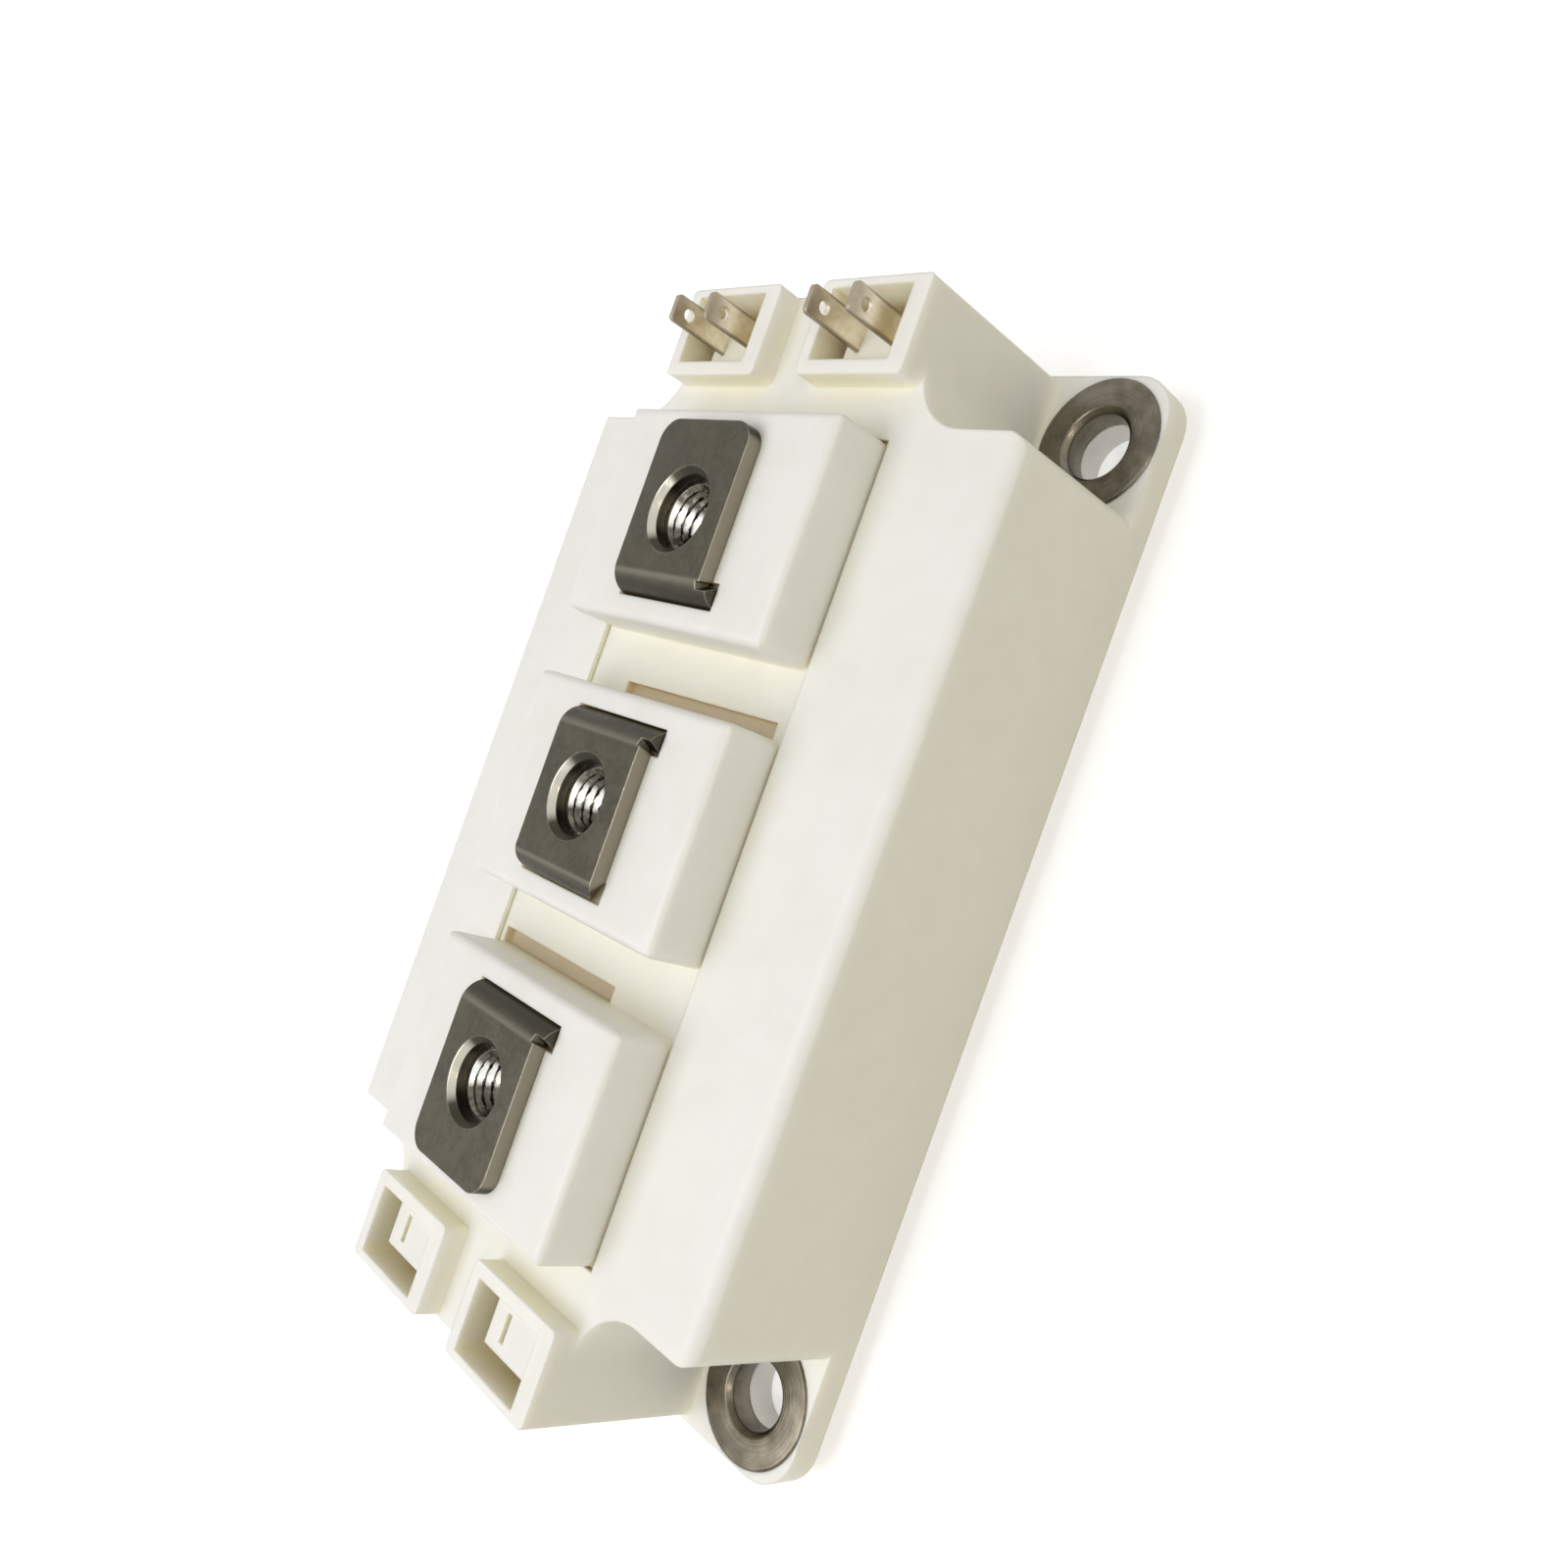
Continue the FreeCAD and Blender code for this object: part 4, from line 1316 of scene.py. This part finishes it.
@dataclass(frozen=True)
class CaptiveNut:
    """Hexagon nut with chamfered corners and a real helical thread.

    The section runs up the thread and down the hexagon. On the thread the radius is the bore's plus
    a triangle wave of height over pitch plus turn, so the ridges climb one pitch in a turn. The
    corners' chamfer is how far it reaches in and down.
    """

    number: int
    middle_x: float
    across_flats: float = 10.0
    bottom: float = 23.4
    top: float = 28.4
    bore_radius: float = 2.5
    countersink: float = 0.6
    lower_countersink: float = 0.2
    chamfer: Pair = (0.2, 0.3)
    pitch: float = 1.0
    thread_depth: float = 0.5
    thread_margin: float = 0.05
    thread_rows: int = 50
    steps: int = 96

    def build(self, material: bpy.types.Material) -> None:
        """Build the nut and let it stand for its CAD node.

        Args:
            material: its finish.
        """
        turn = full_turn(self.steps)
        flat = self.across_flats / 2
        hexagon = flat / np.cos((turn + np.pi / 6) % (np.pi / 3) - np.pi / 6)
        thread_ends = self.bottom + self.thread_margin, self.top - self.thread_margin
        rows = np.linspace(*thread_ends, self.thread_rows)[None, :]
        wave = (rows - self.bottom) / self.pitch - turn / (2 * np.pi)
        ridge = 2 * abs(wave - np.floor(wave) - 0.5)
        mouth = np.maximum(rows - (self.top - self.countersink), 0.0)
        thread = np.maximum(self.bore_radius + self.thread_depth * ridge, self.bore_radius + mouth)
        rest = (
            (self.bore_radius + self.countersink, self.top),
            (np.minimum(hexagon, flat + self.chamfer[0]), self.top),
            (hexagon, self.top - self.chamfer[1]),
            (hexagon, self.bottom),
            (self.bore_radius + self.lower_countersink, self.bottom),
        )
        radii, levels = (np.concatenate([np.broadcast_to(first, thread.shape)]
                                        + [np.broadcast_to(point[k], turn.shape) for point in rest], axis=1)
                         for k, first in enumerate((thread, rows)))
        surface = turned(radii, levels, (self.middle_x, 0.0))
        piece = make_piece(f"threaded_nut_{self.number}", surface, material)
        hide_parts(f"terminal_nut_{self.number}")


@dataclass(frozen=True)
class MountingBush:
    """Flanged steel bush turned on a lathe, with a chamfered mouth and an eased rim."""

    number: int
    middle: Pair
    bore_radius: float = 3.2
    body_radius: float = 4.8
    flange_radius: float = 6.5
    flange_height: float = 1.3
    bottom: float = 3.0
    top: float = 5.8
    chamfer: float = 0.5
    mouth_ease: float = 0.15
    rim_ease: float = 0.3
    foot_ease: float = 0.1
    seat_ease: float = 0.05
    steps: int = 128

    def build(self, material: bpy.types.Material) -> None:
        """Build the bush and let it stand for its CAD node.

        Args:
            material: its finish.
        """
        seat = self.top - self.flange_height
        outline = rounded_path([
            (self.bore_radius, self.bottom, self.mouth_ease),
            (self.bore_radius, self.top - self.chamfer, self.mouth_ease),
            (self.bore_radius + self.chamfer, self.top, self.mouth_ease),
            (self.flange_radius, self.top, self.rim_ease),
            (self.flange_radius, seat, self.foot_ease),
            (self.body_radius, seat, self.seat_ease),
            (self.body_radius, self.bottom, self.foot_ease),
        ])
        radius, height = (np.broadcast_to(column, (self.steps, len(outline))) for column in outline.T)
        piece = make_piece(f"turned_bush_{self.number}", turned(radius, height, self.middle),
                           material)
        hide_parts(f"mounting_bush_{self.number}")


@dataclass(frozen=True)
class BladeTab:
    """Control tab stamped from thin strip: blade with a pierced, eased tip, arm and soldered leg."""

    node: str
    middle_y: float
    middle_x: float = 48.5
    half_width: float = 1.4
    thickness: float = 0.5
    tip: float = 29.6
    tip_corner: float = 0.5
    hole_radius: float = 0.6
    hole_drop: float = 1.9
    hole_rim: float = 0.08
    hole_square: float = 1.0
    hole_divisions: int = 6
    hole_rings: int = 3
    corner_lines: int = 5
    arm_bottom: float = 8.2
    arm_top: float = 10.6
    leg: Pair = (33.3, 34.9)
    leg_bottom: float = 4.2
    edges: EdgeRound = EdgeRound(0.06)

    def stays(self, u: np.ndarray, v: np.ndarray) -> np.ndarray:
        """Tell where the blank has metal: the blade, the arm below it and the leg at its end.

        Args:
            u: places along the module.
            v: heights.

        Returns:
            True where the metal stays.
        """
        blade = (abs(u - self.middle_x) < self.half_width) & (v > self.arm_bottom)
        arm = (u > self.leg[0]) & (u < self.middle_x) & (v > self.arm_bottom) & (v < self.arm_top)
        leg = (u > self.leg[0]) & (u < self.leg[1]) & (v < self.arm_top)
        return blade | arm | leg

    def upright(self, offset: float) -> Callable[[np.ndarray], np.ndarray]:
        """Function that stands blank points upright at an offset from the tab's middle."""
        return lambda p: np.stack([p[:, 0], np.full(len(p), self.middle_y + offset), p[:, 1]], axis=1)

    def build(self, material: bpy.types.Material) -> None:
        """Build the tab and let it stand for its CAD node.

        Args:
            material: its finish.
        """
        low, high = self.middle_x - self.half_width, self.middle_x + self.half_width
        ease = self.tip_corner
        spans = ((high - ease, high), (low, low + ease), (self.tip - ease, self.tip))
        right, left, upper = (np.linspace(*span, self.corner_lines) for span in spans)
        sheet = PiercedSheet(
            np.concatenate([self.leg, right, left]),
            np.concatenate([[self.leg_bottom, self.arm_bottom, self.arm_top], upper]),
            (self.middle_x, self.tip - self.hole_drop), self.hole_radius, self.hole_rim,
            self.hole_square, self.hole_divisions, self.hole_rings)
        blank = sheet.blank(self.stays)
        points = blank.points
        for corner, sense in ((high, 1), (low, -1)):
            points = eased_corner(points, (corner, self.tip), (ease, ease), (sense, 1))
        half = self.thickness / 2
        plate = thickened(Surface(points, blank.faces), self.upright(-half), self.upright(half))
        piece = make_piece(f"stamped_{self.node}", plate, material, self.edges)
        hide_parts(self.node)


@dataclass(frozen=True)
class InnerElectrics:
    """Substrates, chips, wires, leads and gel under the cover, as the CAD has them."""

    ceramic: DullSolid = DullSolid("ceramic", (0.83, 0.82, 0.78), (0.74, 0.73, 0.69), (0.35, 0.5))
    copper: PlatedMetal = PlatedMetal("bare_copper", (0.80, 0.42, 0.28), (0.62, 0.29, 0.17), (0.28, 0.42))
    silicon: DullSolid = DullSolid("silicon", (0.10, 0.10, 0.12), (0.05, 0.05, 0.065), (0.12, 0.2), coat=0.4)
    wire: PlatedMetal = PlatedMetal("aluminium_wire", (0.86, 0.86, 0.87), (0.70, 0.70, 0.71), (0.22, 0.35))
    lead: DullSolid = DullSolid("lead_insulation", (0.72, 0.70, 0.66), (0.62, 0.60, 0.56), (0.45, 0.6))
    gel: DullSolid = DullSolid("silicone", (0.90, 0.91, 0.89), (0.84, 0.86, 0.83), (0.08, 0.16), clear=0.85)

    def build(self) -> None:
        """Dress every inner node; the first four finishes go on both substrates."""
        for finish, stems in ((self.ceramic, ("substrate_ceramic",)),
                              (self.copper, ("substrate_backing", "substrate_tracks", "link_bridge")),
                              (self.silicon, ("igbt_chips", "diode_chips")),
                              (self.wire, ("bond_wires",))):
            dress_nodes([f"{stem}_{number}" for stem in stems for number in (1, 2)], finish.build())
        dress_nodes(["gate_lead", "sense_lead"], self.lead.build())
        dress_nodes(["silicone_gel"], self.gel.build())


@dataclass(frozen=True)
class PowerModule:
    """The whole module, with the places of its holes, terminals and tabs as the CAD frame has them."""

    hole: Pair = (46.5, 24.0)
    pitch: float = 28.0
    gate_place: float = 7.275
    sense_place: float = 12.775
    plate: PlatedMetal = PlatedMetal("base_nickel", (0.66, 0.64, 0.60), (0.52, 0.50, 0.46), (0.28, 0.4),
                                     stretch=(0.06, 1.0, 1.0), stain_scale=0.05)

    def terminals(self) -> list[MainTerminal]:
        """The three screw terminals.

        Returns:
            The terminals in the order of their numbers.
        """
        return [MainTerminal(1, self.pitch, -1, -1, FreeEnd.STRAIGHT),
                MainTerminal(2, 0.0, 1, -1, FreeEnd.ROLLED),
                MainTerminal(3, -self.pitch, 1, 1, FreeEnd.STRAIGHT)]

    def bushes(self) -> list[MountingBush]:
        """The four bushes, numbered and placed as the CAD has them.

        Returns:
            The bushes in the order of their numbers.
        """
        bushes = []
        for number in range(1, 5):
            low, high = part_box(f"mounting_bush_{number}")
            middle = tuple(round((low[k] + high[k]) / 2 / MM, 3) for k in (0, 1))
            bushes.append(MountingBush(number, middle))
        return bushes

    def tabs(self) -> list[BladeTab]:
        """The four control tabs.

        Returns:
            The tabs, each by the name of its CAD node.
        """
        return [BladeTab(f"{kind}_tab_{number}", sense * place)
                for number, sense in ((1, -1), (2, 1))
                for kind, place in (("gate", self.gate_place), ("sense", self.sense_place))]

    def build(self) -> None:
        """Build and dress every sub-assembly in order."""
        MouldedHousing().build()
        nickel = StampedNickel().build()
        for terminal in self.terminals():
            terminal.build(nickel)
        steel = ThreadedSteel().build()
        for terminal in self.terminals():
            CaptiveNut(terminal.number, terminal.middle_x).build(steel)
        turned_steel = TurnedSteel((*self.hole, 0.0)).build()
        for bush in self.bushes():
            bush.build(turned_steel)
        brass = TarnishedTab().build()
        for tab in self.tabs():
            tab.build(brass)
        dress_nodes(["base_plate"], self.plate.build())
        InnerElectrics().build()


def main() -> None:
    """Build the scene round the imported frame."""
    logging.basicConfig(level=logging.INFO, format="%(message)s")
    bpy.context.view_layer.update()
    SharedGroups().build()
    PhotoCamera().build()
    Studio().build()
    PowerModule().build()


if __name__ == "__main__":
    main()
